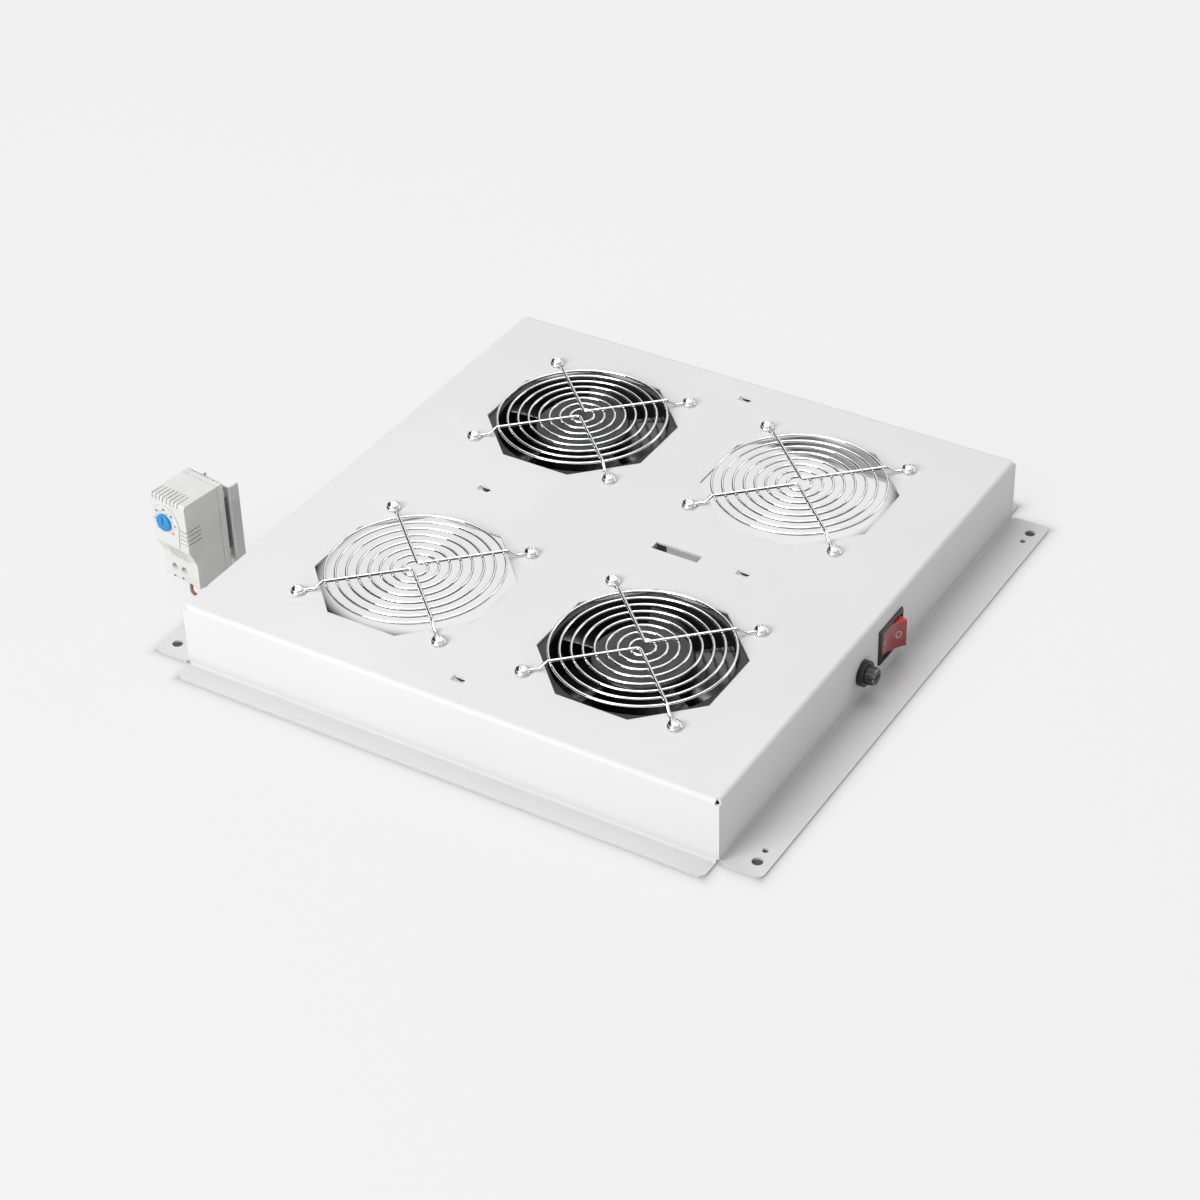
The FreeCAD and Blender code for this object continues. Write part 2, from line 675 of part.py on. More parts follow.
def fan_hub():
    """Deep cup with a rounded rim and a boss for the shaft."""
    top, base, r = hub_top(), hub_base(), HUB_R
    e = HUB_EDGE_R
    diag = e * math.sqrt(0.5)
    edges = [
        line((0, 0, top), (r - e, 0, top)),
        arc((r - e, 0, top), (r - e + diag, 0, top - e + diag), (r, 0, top - e)),
        line((r, 0, top - e), (r, 0, base)),
        line((r, 0, base), (r - HUB_WALL, 0, base)),
        line((r - HUB_WALL, 0, base), (r - HUB_WALL, 0, top - HUB_WALL)),
        line((r - HUB_WALL, 0, top - HUB_WALL), (2 * SHAFT_R + 1, 0, top - HUB_WALL)),
        line((2 * SHAFT_R + 1, 0, top - HUB_WALL), (2 * SHAFT_R + 1, 0, boss_end())),
        line((2 * SHAFT_R + 1, 0, boss_end()), (0, 0, boss_end())),
        line((0, 0, boss_end()), (0, 0, top)),
    ]
    return Part.Face(Part.Wire(edges)).revolve(NONE, Z, 360)


def boss_end():
    return bearing_tube_top() + 1


def blade_section(radius, chord, pitch):
    """Closed blade outline wrapped on a cylinder: two cambered curves and two straight ends."""
    mid = (hub_base() + hub_top()) / 2
    lean = math.radians(pitch)

    def at(along, off):
        camber = BLADE_CAMBER * chord * (1 - (2 * along / chord) ** 2)
        rise = camber + off
        across = along * math.cos(lean) - rise * math.sin(lean)
        height = along * math.sin(lean) + rise * math.cos(lean)
        turn = across / radius
        return Vector(radius * math.cos(turn), radius * math.sin(turn), mid + height)

    stations = [chord * (k / 6 - 0.5) for k in range(7)]
    curves = []
    for side in (1, -1):
        thick = [BLADE_THICK * (0.22 + 0.28 * (1 - (2 * s / chord) ** 2)) for s in stations]
        curve = Part.BSplineCurve()
        curve.interpolate([at(s, side * t) for s, t in zip(stations, thick)])
        curves.append(curve.toShape())
    upper, lower = curves
    ends = [line(upper.Vertexes[i].Point, lower.Vertexes[i].Point) for i in (0, -1)]
    return Part.Wire([upper, ends[1], lower, ends[0]])


def fan_rotor():
    """Hub with its ring of cambered, twisted blades."""
    tip_r = THROAT_R - BLADE_TIP_GAP
    steps = [0.0, 0.5, 1.0]
    root_r, over_r = HUB_R - 1.2, tip_r + 1.5
    sections = []
    for s in steps:
        chord = BLADE_ROOT_CHORD + s * (BLADE_TIP_CHORD - BLADE_ROOT_CHORD)
        pitch = BLADE_ROOT_PITCH + s * (BLADE_TIP_PITCH - BLADE_ROOT_PITCH)
        sections.append(blade_section(root_r + s * (over_r - root_r), chord, pitch))
    blade = Part.makeLoft(sections, True)
    blade = blade.common(rod(tip_r, (0, 0, FAN_BASE), (0, 0, FAN_TOP)))
    blades = []
    for k in range(BLADE_COUNT):
        copy = blade.copy()
        copy.rotate(NONE, Z, 360 / BLADE_COUNT * k)
        blades.append(copy)
    rotor = fused([fan_hub(), *blades])
    return rotor.cut(rod(SHAFT_R, (0, 0, boss_end() - 1), (0, 0, hub_top() - HUB_WALL / 2)))


def fan_shaft():
    return rod(SHAFT_R, (0, 0, FAN_BASE + 1.5), (0, 0, hub_top() - HUB_WALL / 2))


def fan_cage():
    """Rotor ring that turns round the stator, pressed into the hub."""
    low = FAN_BASE + MOTOR_BASE_H + COIL_H
    return pipe(HUB_R - HUB_WALL, STATOR_R + CAGE_GAP, (0, 0, low), (0, 0, low + STATOR_H))


def fan_tabs():
    """Two blade terminals on one strut, for the fan's lead."""
    x = MOTOR_BASE_R - 6
    tabs = [box(x, x + TAB_L, s * 5 - TAB_W / 2, s * 5 + TAB_W / 2,
                FAN_BASE + MOTOR_BASE_H, FAN_BASE + MOTOR_BASE_H + TAB_T) for s in (-1, 1)]
    return group(tabs)


# ---------------------------------------------------------------- rocker switch
def switch_body():
    """Bevelled bezel and open-fronted body, with holes for the rocker's pivot."""
    face, wall = -HALF_Y - BEZEL_T, -HALF_Y
    bezel = box(-BEZEL_X / 2, BEZEL_X / 2, face, wall, -BEZEL_Z / 2, BEZEL_Z / 2)
    rim = [e for e in bezel.Edges if abs(e.BoundBox.YMin - face) < 0.01
           and abs(e.BoundBox.YMax - face) < 0.01]
    bezel = bezel.makeChamfer(BEZEL_BEVEL, rim)
    body = box(-SWITCH_BODY_X / 2, SWITCH_BODY_X / 2, wall, wall + SWITCH_BODY_DEPTH,
               -SWITCH_BODY_Z / 2, SWITCH_BODY_Z / 2)
    inside_x = SWITCH_BODY_X / 2 - SWITCH_WALL
    inside_z = SWITCH_BODY_Z / 2 - SWITCH_WALL
    hollow = box(-inside_x, inside_x, face - 1, wall + SWITCH_BODY_DEPTH - 4, -inside_z, inside_z)
    pivot = rod(PIVOT_R + RUNNING_GAP, (0, pivot_y(), -SWITCH_BODY_Z), (0, pivot_y(), SWITCH_BODY_Z))
    body = fused([bezel, body]).cut(hollow).cut(pivot)
    catches = [prism([Vector(s * SWITCH_BODY_X / 2, wall + SHEET + 0.1, -4),
                      Vector(s * (SWITCH_BODY_X / 2 + 1.1), wall + SHEET + 0.1, -4),
                      Vector(s * SWITCH_BODY_X / 2, wall + SHEET + 7, -4)], Vector(0, 0, 8))
               for s in (-1, 1)]
    return moved(fused([body, *catches]), (SWITCH_X, 0, SWITCH_Z))


def pivot_y():
    return -HALF_Y + PIVOT_DEPTH


def switch_rocker():
    """Hollow rocker with a dished face, tilted so that its left end is pressed in."""
    half, ends, middle = ROCKER_HALF, ROCKER_END_RISE, ROCKER_MID_RISE
    height = SWITCH_BODY_Z / 2 - SWITCH_WALL - ROCKER_SIDE_GAP
    low = -3.0

    def outline(inset):
        x = half - inset
        return Part.Face(Part.Wire([
            arc((-x, -(ends - inset), 0), (0, -(middle - inset), 0), (x, -(ends - inset), 0)),
            line((x, -(ends - inset), 0), (x, 0, 0)),
            line((x, 0, 0), (x * 0.5, -low, 0)),
            line((x * 0.5, -low, 0), (-x * 0.5, -low, 0)),
            line((-x * 0.5, -low, 0), (-x, 0, 0)),
            line((-x, 0, 0), (-x, -(ends - inset), 0)),
        ]))

    solid = moved(outline(0).extrude(Vector(0, 0, 2 * height)), (0, 0, -height))
    core = height - ROCKER_WALL
    hollow = moved(outline(ROCKER_WALL).extrude(Vector(0, 0, 2 * core)), (0, 0, -core))
    open_back = box(-half * 0.5 + ROCKER_WALL, half * 0.5 - ROCKER_WALL, 0, -low + 1, -core, core)
    pins = [rod(PIVOT_R, (0, 0, s * (height - 0.5)), (0, 0, s * (SWITCH_BODY_Z / 2 - 0.1)))
            for s in (-1, 1)]
    rocker = fused([solid.cut(hollow).cut(open_back), *pins])
    rocker.rotate(NONE, Z, -ROCKER_TILT)
    return moved(rocker, (SWITCH_X, pivot_y(), SWITCH_Z))


def switch_terminals():
    """Four spade terminals at the back of the switch."""
    back = -HALF_Y + SWITCH_BODY_DEPTH
    spades = []
    for sx in (-1, 1):
        for sz in (-1, 1):
            x, z = SWITCH_X + sx * 7, SWITCH_Z + sz * 5.5
            spades.append(box(x - SPADE_W / 2, x + SPADE_W / 2, back, back + SPADE_L,
                              z - SPADE_T / 2, z + SPADE_T / 2))
    return group(spades)


def switch_lamp():
    """Neon lamp on the floor of the switch body, behind the rocker."""
    floor = -HALF_Y + SWITCH_BODY_DEPTH - 4
    return rod(LAMP_R, (SWITCH_X - LAMP_L / 2, floor - LAMP_R, SWITCH_Z),
               (SWITCH_X + LAMP_L / 2, floor - LAMP_R, SWITCH_Z))


# ---------------------------------------------------------------- fuse holder
def fuse_point(depth):
    """Point on the fuse holder's axis, so far behind the outer face of the wall."""
    return Vector(FUSE_X, -HALF_Y + depth, FUSE_Z)


def fuse_holder_body():
    """Flanged barrel with a stepped bore."""
    flange = rod(FUSE_FLANGE_D / 2, fuse_point(-FUSE_FLANGE_T), fuse_point(0))
    rim = [e for e in flange.Edges if abs(e.BoundBox.YMax + HALF_Y + FUSE_FLANGE_T) < 0.01
           and e.BoundBox.XLength > 1]
    flange = flange.makeFillet(0.6, rim)
    barrel = rod(FUSE_BARREL_D / 2, fuse_point(-0.5), fuse_point(FUSE_BARREL_L))
    wide = rod(CAP_STEM_D / 2 + RUNNING_GAP, fuse_point(-FUSE_FLANGE_T - 1), fuse_point(CAP_STEM_L))
    bore = rod(FUSE_D / 2 + RUNNING_GAP, fuse_point(0), fuse_point(fuse_end() + 0.3))
    return fused([flange, barrel]).cut(wide).cut(bore)


def fuse_start():
    return -FUSE_FLANGE_T + 5.5


def fuse_end():
    return fuse_start() + FUSE_L


def fuse_nut():
    """Hexagonal nut behind the sheet."""
    nut = hexagon(FUSE_NUT_FLATS, FUSE_NUT_T, fuse_point(SHEET), Y)
    return nut.cut(rod(FUSE_BARREL_D / 2, fuse_point(0), fuse_point(FUSE_NUT_T + SHEET + 1)))


def fuse_cap():
    """Tapered, ribbed cap with a screwdriver slot and a stem that holds the fuse."""
    face = -FUSE_FLANGE_T - RUNNING_GAP
    knob = Part.makeCone(CAP_D / 2, CAP_END_D / 2, CAP_L, fuse_point(face), -Y)
    end = [e for e in knob.Edges if abs(e.BoundBox.YMax - e.BoundBox.YMin) < 0.01
           and e.BoundBox.YMax < -HALF_Y + face - CAP_L + 0.1]
    knob = knob.makeFillet(0.6, end)
    grooves = []
    for k in range(CAP_RIBS):
        turn = 2 * math.pi * k / CAP_RIBS
        side = Vector(math.cos(turn), 0, math.sin(turn))
        inner = fuse_point(face - 1.2) + side * (CAP_D / 2 + CAP_RIB_R * 0.35)
        outer = fuse_point(face - CAP_L - 1) + side * (CAP_END_D / 2 + CAP_RIB_R * 0.1)
        grooves.append(rod(CAP_RIB_R, inner, outer))
    knob = knob.cut(Part.makeCompound(grooves))
    slot = box(FUSE_X - 3.6, FUSE_X + 3.6, -HALF_Y + face - CAP_L - 1,
               -HALF_Y + face - CAP_L + 1.2, FUSE_Z - 0.6, FUSE_Z + 0.6)
    stem = rod(CAP_STEM_D / 2, fuse_point(face - 0.5), fuse_point(CAP_STEM_L - 0.3))
    socket = rod(FUSE_D / 2, fuse_point(fuse_start()), fuse_point(CAP_STEM_L + 1))
    return fused([knob.cut(slot), stem]).cut(socket)


def fuse_tube():
    """Glass tube of the fuse between its end caps."""
    r = FUSE_D / 2 - FUSE_CAP_WALL
    return rod(r, fuse_point(fuse_start() + FUSE_CAP_WALL), fuse_point(fuse_end() - FUSE_CAP_WALL))


def fuse_end_caps():
    caps = []
    for start, closed in ((fuse_start(), 1), (fuse_end() - FUSE_CAP_L, -1)):
        cap = rod(FUSE_D / 2, fuse_point(start), fuse_point(start + FUSE_CAP_L))
        inside = start + (FUSE_CAP_WALL if closed == 1 else -1)
        cap = cap.cut(rod(FUSE_D / 2 - FUSE_CAP_WALL, fuse_point(inside),
                          fuse_point(inside + FUSE_CAP_L + 1 - FUSE_CAP_WALL)))
        caps.append(cap)
    return group(caps)


def fuse_terminals():
    """Side and end solder tags of the fuse holder."""
    end = box(FUSE_X - 2.4, FUSE_X + 2.4, -HALF_Y + FUSE_BARREL_L, -HALF_Y + FUSE_BARREL_L + 7,
              FUSE_Z - 0.4, FUSE_Z + 0.4)
    side_z = FUSE_Z + FUSE_BARREL_D / 2
    side = box(FUSE_X - 2.4, FUSE_X + 2.4, -HALF_Y + 17, -HALF_Y + 21, side_z - 0.4, side_z + 7)
    barrel = rod(FUSE_BARREL_D / 2, fuse_point(0), fuse_point(FUSE_BARREL_L))
    return group([end, side.cut(barrel)])


# ---------------------------------------------------------------- bushes in the rear wall
def bush_places():
    return ((LEAD_D, LEAD_HOLE_X, LEAD_HOLE_Z), (MAINS_D, MAINS_HOLE_X, MAINS_HOLE_Z))


def bush_neck(bore_d):
    return bore_d / 2 + BUSH_WALL


def wall_bush(bore_d, x, z):
    """Grooved rubber bush: a lip on each side of the sheet and a plain bore."""
    neck, lip = bush_neck(bore_d), bush_neck(bore_d) + BUSH_LIP
    inner, outer = HALF_Y - SHEET, HALF_Y
    bead = BUSH_LIP * 0.8
    profile = [(bore_d / 2, inner - BUSH_LIP), (lip - bead, inner - BUSH_LIP), (lip, inner - 0.6),
               (lip, inner), (neck, inner), (neck, outer), (lip, outer), (lip, outer + 0.6),
               (lip - bead, outer + BUSH_LIP), (bore_d / 2, outer + BUSH_LIP)]
    bush = turned(profile, Y)
    return moved(bush, (x, 0, z))


# ---------------------------------------------------------------- terminal block
def block_front():
    return SLOT_CENTRE_Y + SLOT_Y / 2 + SHEET


def terminal_block():
    """Row of moulded ways with waisted gaps between them and a hole for its screw."""
    half = BLOCK_WAYS * BLOCK_PITCH / 2
    y0, y1 = block_front(), block_front() + BLOCK_DEPTH
    z0, z1 = block_centre_z() - BLOCK_H / 2, block_centre_z() + BLOCK_H / 2
    block = box(-half, half, y0, y1, z0, z1)
    for k in range(1, BLOCK_WAYS):
        x = -half + k * BLOCK_PITCH
        for low, high in ((z0 - 1, z0 + 4), (z1 - 4, z1 + 1)):
            block = block.cut(box(x - 1, x + 1, y0 + 4, y1 + 1, low, high))
    for x in way_places():
        y = y0 + BLOCK_DEPTH / 2
        block = block.cut(rod(CONTACT_D / 2, (x, y, z0 - 1), (x, y, z1 + 1)))
        for z in (z0 + 4.5, z1 - 4.5):
            block = block.cut(rod(1.8, (x, y, z), (x, y1 + 1, z)))
    return block.cut(rod(LUG_SCREW_D / 2, (0, y0 - 1, block_centre_z()), (0, y1 + 1, block_centre_z())))


def way_places():
    return [(k - (BLOCK_WAYS - 1) / 2) * BLOCK_PITCH for k in range(BLOCK_WAYS)]


def block_contacts():
    """Brass tube with two clamping screws in every way."""
    y = block_front() + BLOCK_DEPTH / 2
    z0, z1 = block_centre_z() - BLOCK_H / 2 + 1.5, block_centre_z() + BLOCK_H / 2 - 1.5
    contacts = []
    for x in way_places():
        contact = pipe(CONTACT_D / 2, CONTACT_BORE_D / 2, (x, y, z0), (x, y, z1))
        screws = [rod(1.5, (x, y + CONTACT_BORE_D / 2, z), (x, y + CONTACT_D / 2 + 2, z))
                  for z in (z0 + 3, z1 - 3)]
        contacts.append(fused([contact, *screws]))
    return group(contacts)


def lug_fastener(diameter, z, far_face):
    """Cheese-head screw from the front of the lug with a nut behind what it clamps."""
    y0 = block_front() - SHEET
    r = diameter / 2
    shank = rod(r, (0, y0, z), (0, far_face + diameter, z))
    head = rod(2 * r * 0.95, (0, y0 - r * 1.2, z), (0, y0, z))
    nut = hexagon(1.8 * diameter, 0.8 * diameter, Vector(0, far_face, z), Y)
    nut = nut.cut(rod(r, (0, far_face - 1, z), (0, far_face + 2 * diameter, z)))
    return group([fused([shank, head]), nut])


# ---------------------------------------------------------------- thermostat
def stat_placement():
    return Placement(STAT_AT, Rotation(Z, STAT_YAW))


def stat(shape):
    """Put a piece that was built in the thermostat's own axes into place."""
    copy = shape.copy()
    copy.Placement = stat_placement().multiply(copy.Placement)
    return copy


def stat_profile():
    """Side outline of the front housing: straight above, curved back to the terminal face."""
    front, low = -STAT_D, -STAT_D + STAT_SETBACK
    rear = -STAT_REAR
    edges = [
        line((rear, 0, 0), (rear, 0, STAT_H)),
        line((rear, 0, STAT_H), (front + 1.5, 0, STAT_H)),
        arc((front + 1.5, 0, STAT_H), (front + 0.44, 0, STAT_H - 0.44), (front, 0, STAT_H - 1.5)),
        line((front, 0, STAT_H - 1.5), (front, 0, STAT_STEP_TOP)),
        arc((front, 0, STAT_STEP_TOP), (front + STAT_SETBACK * 0.55, 0, STAT_STEP_LOW + 6.2),
            (low, 0, STAT_STEP_LOW)),
        line((low, 0, STAT_STEP_LOW), (low, 0, 1.5)),
        arc((low, 0, 1.5), (low + 0.44, 0, 0.44), (low + 1.5, 0, 0)),
        line((low + 1.5, 0, 0), (rear, 0, 0)),
    ]
    return Part.Face(Part.Wire(edges))


def dial_panel():
    """Raised panel round the dial: an arch above, running out to the left edge below."""
    front = -STAT_D
    left = STAT_W / 2 - STAT_EDGE_R
    right = ARCH_Y - ARCH_R
    x = front - ARCH_RISE
    edges = [
        arc((x, right, ARCH_Z), (x, ARCH_Y, ARCH_Z + ARCH_R), (x, ARCH_Y + ARCH_R * 0.8,
                                                             ARCH_Z + ARCH_R * 0.6)),
        line((x, ARCH_Y + ARCH_R * 0.8, ARCH_Z + ARCH_R * 0.6), (x, left, ARCH_Z + ARCH_R * 0.45)),
        line((x, left, ARCH_Z + ARCH_R * 0.45), (x, left, ARCH_BOTTOM)),
        line((x, left, ARCH_BOTTOM), (x, right + 1.5, ARCH_BOTTOM)),
        line((x, right + 1.5, ARCH_BOTTOM), (x, right, ARCH_Z)),
    ]
    return Part.Face(Part.Wire(edges)).extrude(Vector(ARCH_RISE + 0.5, 0, 0))


def stat_vents():
    """Grooves over the top front edge, round the right edge and down the curved step."""
    cuts = []
    front, top, side = -STAT_D, STAT_H, -STAT_W / 2
    for k in range(VENT_COUNT):
        y = VENT_FIRST_Y + k * VENT_PITCH
        cuts.append(box(front - 1, front + VENT_DEPTH, y, y + VENT_W, top - VENT_DOWN, top + 1))
        cuts.append(box(front - 1, front + VENT_BACK, y, y + VENT_W, top - VENT_DEPTH, top + 1))
    for k in range(SIDE_VENT_COUNT):
        z = SIDE_VENT_Z + k * SIDE_VENT_PITCH
        reach = ARCH_Y - ARCH_R - 0.3
        cuts.append(box(front - 1, front + VENT_DEPTH, side - 1, reach, z, z + VENT_W))
        cuts.append(box(front - 1, front + SIDE_VENT_BACK, side - 1, side + VENT_DEPTH, z, z + VENT_W))
    for k in range(STEP_VENT_COUNT):
        y = STEP_VENT_FIRST_Y + k * STEP_VENT_PITCH
        low = Vector(-STAT_D + STAT_SETBACK + 1.2, y, STAT_STEP_LOW - 1)
        high = Vector(-STAT_D + 1.6, y, STAT_STEP_TOP - 2)
        slope = high - low
        out = Vector(-slope.z, 0, slope.x).normalize() * 4
        cuts.append(prism([low, high, high + out, low + out], Vector(0, VENT_W, 0)))
    return Part.makeCompound(cuts)


def thermostat_front():
    """Front housing with its step, dial panel, vents, terminal holes and dial bearing."""
    body = stat_profile()
    body.translate(Vector(0, -STAT_W / 2, 0))
    body = body.extrude(Vector(0, STAT_W, 0))
    body = fused([body, dial_panel()])
    body = body.cut(stat_vents())
    holes = [rod(TERMINAL_HOLE_R, (-STAT_D, y, TERMINAL_Z),
                 (-STAT_D + STAT_SETBACK + TERMINAL_HOLE_DEPTH, y, TERMINAL_Z))
             for y in terminal_places()]
    shaft = rod(DIAL_SHAFT_R + RUNNING_GAP, (-STAT_D - 2, ARCH_Y, ARCH_Z),
                (-STAT_D + DIAL_SHAFT_L + 0.3, ARCH_Y, ARCH_Z))
    return stat(body.cut(Part.makeCompound([*holes, shaft])))


def terminal_places():
    return [TERMINAL_Y + s * TERMINAL_PITCH / 2 for s in (-1, 1)]


def thermostat_terminals():
    """Two clamping screws at the bottom of the terminal holes."""
    screws = []
    deep = -STAT_D + STAT_SETBACK + TERMINAL_HOLE_DEPTH
    for y in terminal_places():
        screw = rod(TERMINAL_SCREW_R, (deep - TERMINAL_SCREW_L, y, TERMINAL_Z), (deep, y, TERMINAL_Z))
        slot = box(deep - TERMINAL_SCREW_L - 1, deep - TERMINAL_SCREW_L + 0.8, y - 3, y + 3,
                   TERMINAL_Z - 0.35, TERMINAL_Z + 0.35)
        screws.append(stat(screw.cut(slot)))
    return group(screws)


def thermostat_rear():
    """Rear shell with two hooks that reach into the bracket."""
    half = STAT_W / 2
    shell = box(-STAT_REAR, 0, -half, half, 0, STAT_H)
    edges = [e for e in shell.Edges if abs(e.BoundBox.XMin) < 0.01 and abs(e.BoundBox.XMax) < 0.01]
    shell = shell.makeFillet(REAR_EDGE_R, edges)
    hooks = []
    for z in HOOK_Z:
        hooks.append(box(-1, BRACKET_GAP + BRACKET_T, -HOOK_W / 2, HOOK_W / 2,
                         z - HOOK_H / 2, z + HOOK_H / 2))
        reach = BRACKET_GAP + BRACKET_T
        hooks.append(box(reach, reach + 1.4, -HOOK_W / 2, HOOK_W / 2,
                         z - HOOK_H / 2, z + HOOK_H / 2 + 1.5))
    hollow = box(-STAT_REAR - 1, -STAT_REAR + 3, -half + 2, half - 2, 2, STAT_H - 2)
    cuts = [hollow, split_groove(), *rear_notches()]
    return stat(fused([shell, *hooks]).cut(Part.makeCompound(cuts)))


def split_groove():
    """Shallow groove round the shell where it meets the front housing."""
    half, g = STAT_W / 2, SPLIT_GROOVE
    outside = box(-STAT_REAR, -STAT_REAR + g, -half - 1, half + 1, -1, STAT_H + 1)
    return outside.cut(box(-STAT_REAR - 1, -STAT_REAR + g + 1, -half + g, half - g, g, STAT_H - g))


def rear_notches():
    """Row of small ventilation notches along the top rear edge."""
    first = -REAR_NOTCH_PITCH * (REAR_NOTCH_COUNT - 1) / 2
    return [box(-REAR_EDGE_R, 1, y - REAR_NOTCH_W / 2, y + REAR_NOTCH_W / 2,
                STAT_H - REAR_EDGE_R * 0.7, STAT_H + 1)
            for y in [first + k * REAR_NOTCH_PITCH for k in range(REAR_NOTCH_COUNT)]]


def thermostat_bracket():
    """Folded channel that stands on the floor and carries the thermostat on its hooks."""
    half = STAT_W / 2
    near, far = BRACKET_GAP, BRACKET_GAP + BRACKET_DEPTH
    foot = -STAT_AT.z
    channel = box(near, far, -half, half, foot, BRACKET_TOP)
    edges = [e for e in channel.Edges if abs(e.BoundBox.XMin - near) < 0.01
             and abs(e.BoundBox.XMax - near) < 0.01 and e.BoundBox.ZLength > 1]
    channel = channel.makeFillet(BRACKET_T + 0.8, edges)
    inside = box(near + BRACKET_T, far + 1, -half + BRACKET_T, half - BRACKET_T, foot - 1,
                 BRACKET_TOP + 1)
    low_left = box(near - 1, far + 1, half - BRACKET_T - 1, half + 1, BRACKET_LEFT_TOP, BRACKET_TOP + 1)
    channel = channel.cut(Part.makeCompound([inside, low_left]))
    for z in HOOK_Z:
        channel = channel.cut(box(near - 1, near + BRACKET_T + 1, -HOOK_W / 2 - HOOK_GAP,
                                  HOOK_W / 2 + HOOK_GAP, z - HOOK_H / 2 - HOOK_GAP,
                                  z + HOOK_H / 2 + 1.5 + HOOK_GAP))
    return stat(channel)


def thermostat_dial():
    """Domed knob with a pointer slot, on a shaft that turns in the housing."""
    face = -STAT_D - ARCH_RISE - DIAL_FACE_GAP
    knob = rod(DIAL_R, (face - DIAL_H, ARCH_Y, ARCH_Z), (face, ARCH_Y, ARCH_Z))
    rim = [e for e in knob.Edges if e.BoundBox.XMax < face - DIAL_H + 0.01
           and e.BoundBox.YLength > 1]
    knob = knob.makeFillet(0.5, rim)
    slot = box(face - DIAL_H - 1, face - DIAL_H + DIAL_SLOT_DEPTH, ARCH_Y - DIAL_SLOT_W / 2,
               ARCH_Y + DIAL_SLOT_W / 2, ARCH_Z - DIAL_R * 0.2, ARCH_Z + DIAL_R * 0.8)
    shaft = rod(DIAL_SHAFT_R, (face - 0.5, ARCH_Y, ARCH_Z), (-STAT_D + DIAL_SHAFT_L, ARCH_Y, ARCH_Z))
    return stat(fused([knob.cut(slot), shaft]))


def thermostat_bimetal():
    """Bimetal strip on its post, in the hollow of the rear shell."""
    x = -STAT_REAR + 1.2
    strip = box(x, x + BIMETAL_T, -BIMETAL_W / 2, BIMETAL_W / 2, 20, 20 + BIMETAL_L)
    post = box(x + BIMETAL_T, -STAT_REAR + 3, -BIMETAL_W / 2, BIMETAL_W / 2, 20, 25)
    return stat(fused([strip, post]))


# ---------------------------------------------------------------- thermostat lead
def cord_radii(points):
    """Largest radius at each inner point that its two runs leave room for."""
    points = [Vector(p) for p in points]
    radii = []
    for a, b, c in zip(points, points[1:], points[2:]):
        turn = (b - a).getAngle(c - b)
        radii.append(0.45 * min((b - a).Length, (c - b).Length) / math.tan(turn / 2))
    return radii


def cord(name, points, diameter):
    radii = cord_radii(points)
    path = rounded_path(points, radii)
    solid = swept(path, diameter / 2)
    ideal = path.Length * math.pi * diameter ** 2 / 4
    shown = " ".join(f"{r:.1f}" for r in radii)
    print(f"{name}: length {path.Length:.1f} radii {shown} volume/ideal {solid.Volume / ideal:.4f}")
    return solid


def tied_z():
    """Height of the lead's centre where it is tied under a bridge."""
    return TRAY_H - BRIDGE_DEPTH - SHEET - LEAD_D / 2 - 0.2


def inner_lead_points():
    """From the terminal block up to its tie under a bridge, then down to the rear wall."""
    x, z = LEAD_HOLE_X, LEAD_HOLE_Z
    tied, tie_y = tied_z(), BRIDGE_END_Y
    return [
        (0.5, 2, 19), (0, 18, 24.5), (-2, 38, 31), (-1.2, 60, tied - 2.8),
        (0, tie_y - 12, tied), (0, tie_y + 12, tied), (11, tie_y + 36, tied - 6),
        (33, tie_y + 52, tied - 13), (x - 80, tie_y + 57, z + 8), (x - 42, tie_y + 56, z + 4),
        (x - 16, tie_y + 62, z + 2.5), (x - 3.5, tie_y + 72, z + 1),
    ]


def lead_points():
    """Through its bush, round on to the rear flange, along it and down to the thermostat."""
    x, z = LEAD_HOLE_X, LEAD_HOLE_Z
    lie = SHEET + LEAD_D / 2 + 0.15
    inside = HALF_Y - SHEET - BUSH_LIP - 6.8
    return [
        *inner_lead_points(),
        (x, inside, z), (x, HALF_Y + 6.2, z), (x - 3.4, HALF_Y + 13.4, z - 2.2),
        (x - 10.5, HALF_Y + 17.6, z - 4.6), (x - 19.5, HALF_Y + 18.4, z - 6.6),
        (x - 33, HALF_Y + 15.5, lie + 0.4), (x - 60, HALF_Y + 12.5, lie),
        (x - 95, HALF_Y + 14.5, lie + 0.2), (x - 135, HALF_Y + 18.5, lie),
        (x - 175, HALF_Y + 18.5, lie + 0.1), (x - 212, HALF_Y + 20.5, lie),
        (x - 240, HALF_Y + 23.0, lie + 0.1), (x - 257, HALF_Y + 26.4, lie + 0.25),
        (x - 268, HALF_Y + 30.0, lie - 0.5), (x - 277, HALF_Y + 33.6, LEAD_D / 2 + 0.4),
    ]


def inner_core_points(side):
    """A core from the inner end of the lead, down and up into a way of the terminal block."""
    end, after = Vector(lead_points()[0]), Vector(lead_points()[1])
    on = (end - after).normalize()
    start = end + Z.cross(on).normalize() * side * CORE_D * 0.52
    way = side * BLOCK_PITCH / 2
    y = block_front() + BLOCK_DEPTH / 2 + 0.5
    base = block_centre_z() - BLOCK_H / 2
    return [start, start + on * 6, Vector(way * 0.93, y + 13, base - 8.8),
            Vector(way, y + 5.5, base - 9.4), Vector(way, y, base - 4), Vector(way, y, base + CORE_REACH)]


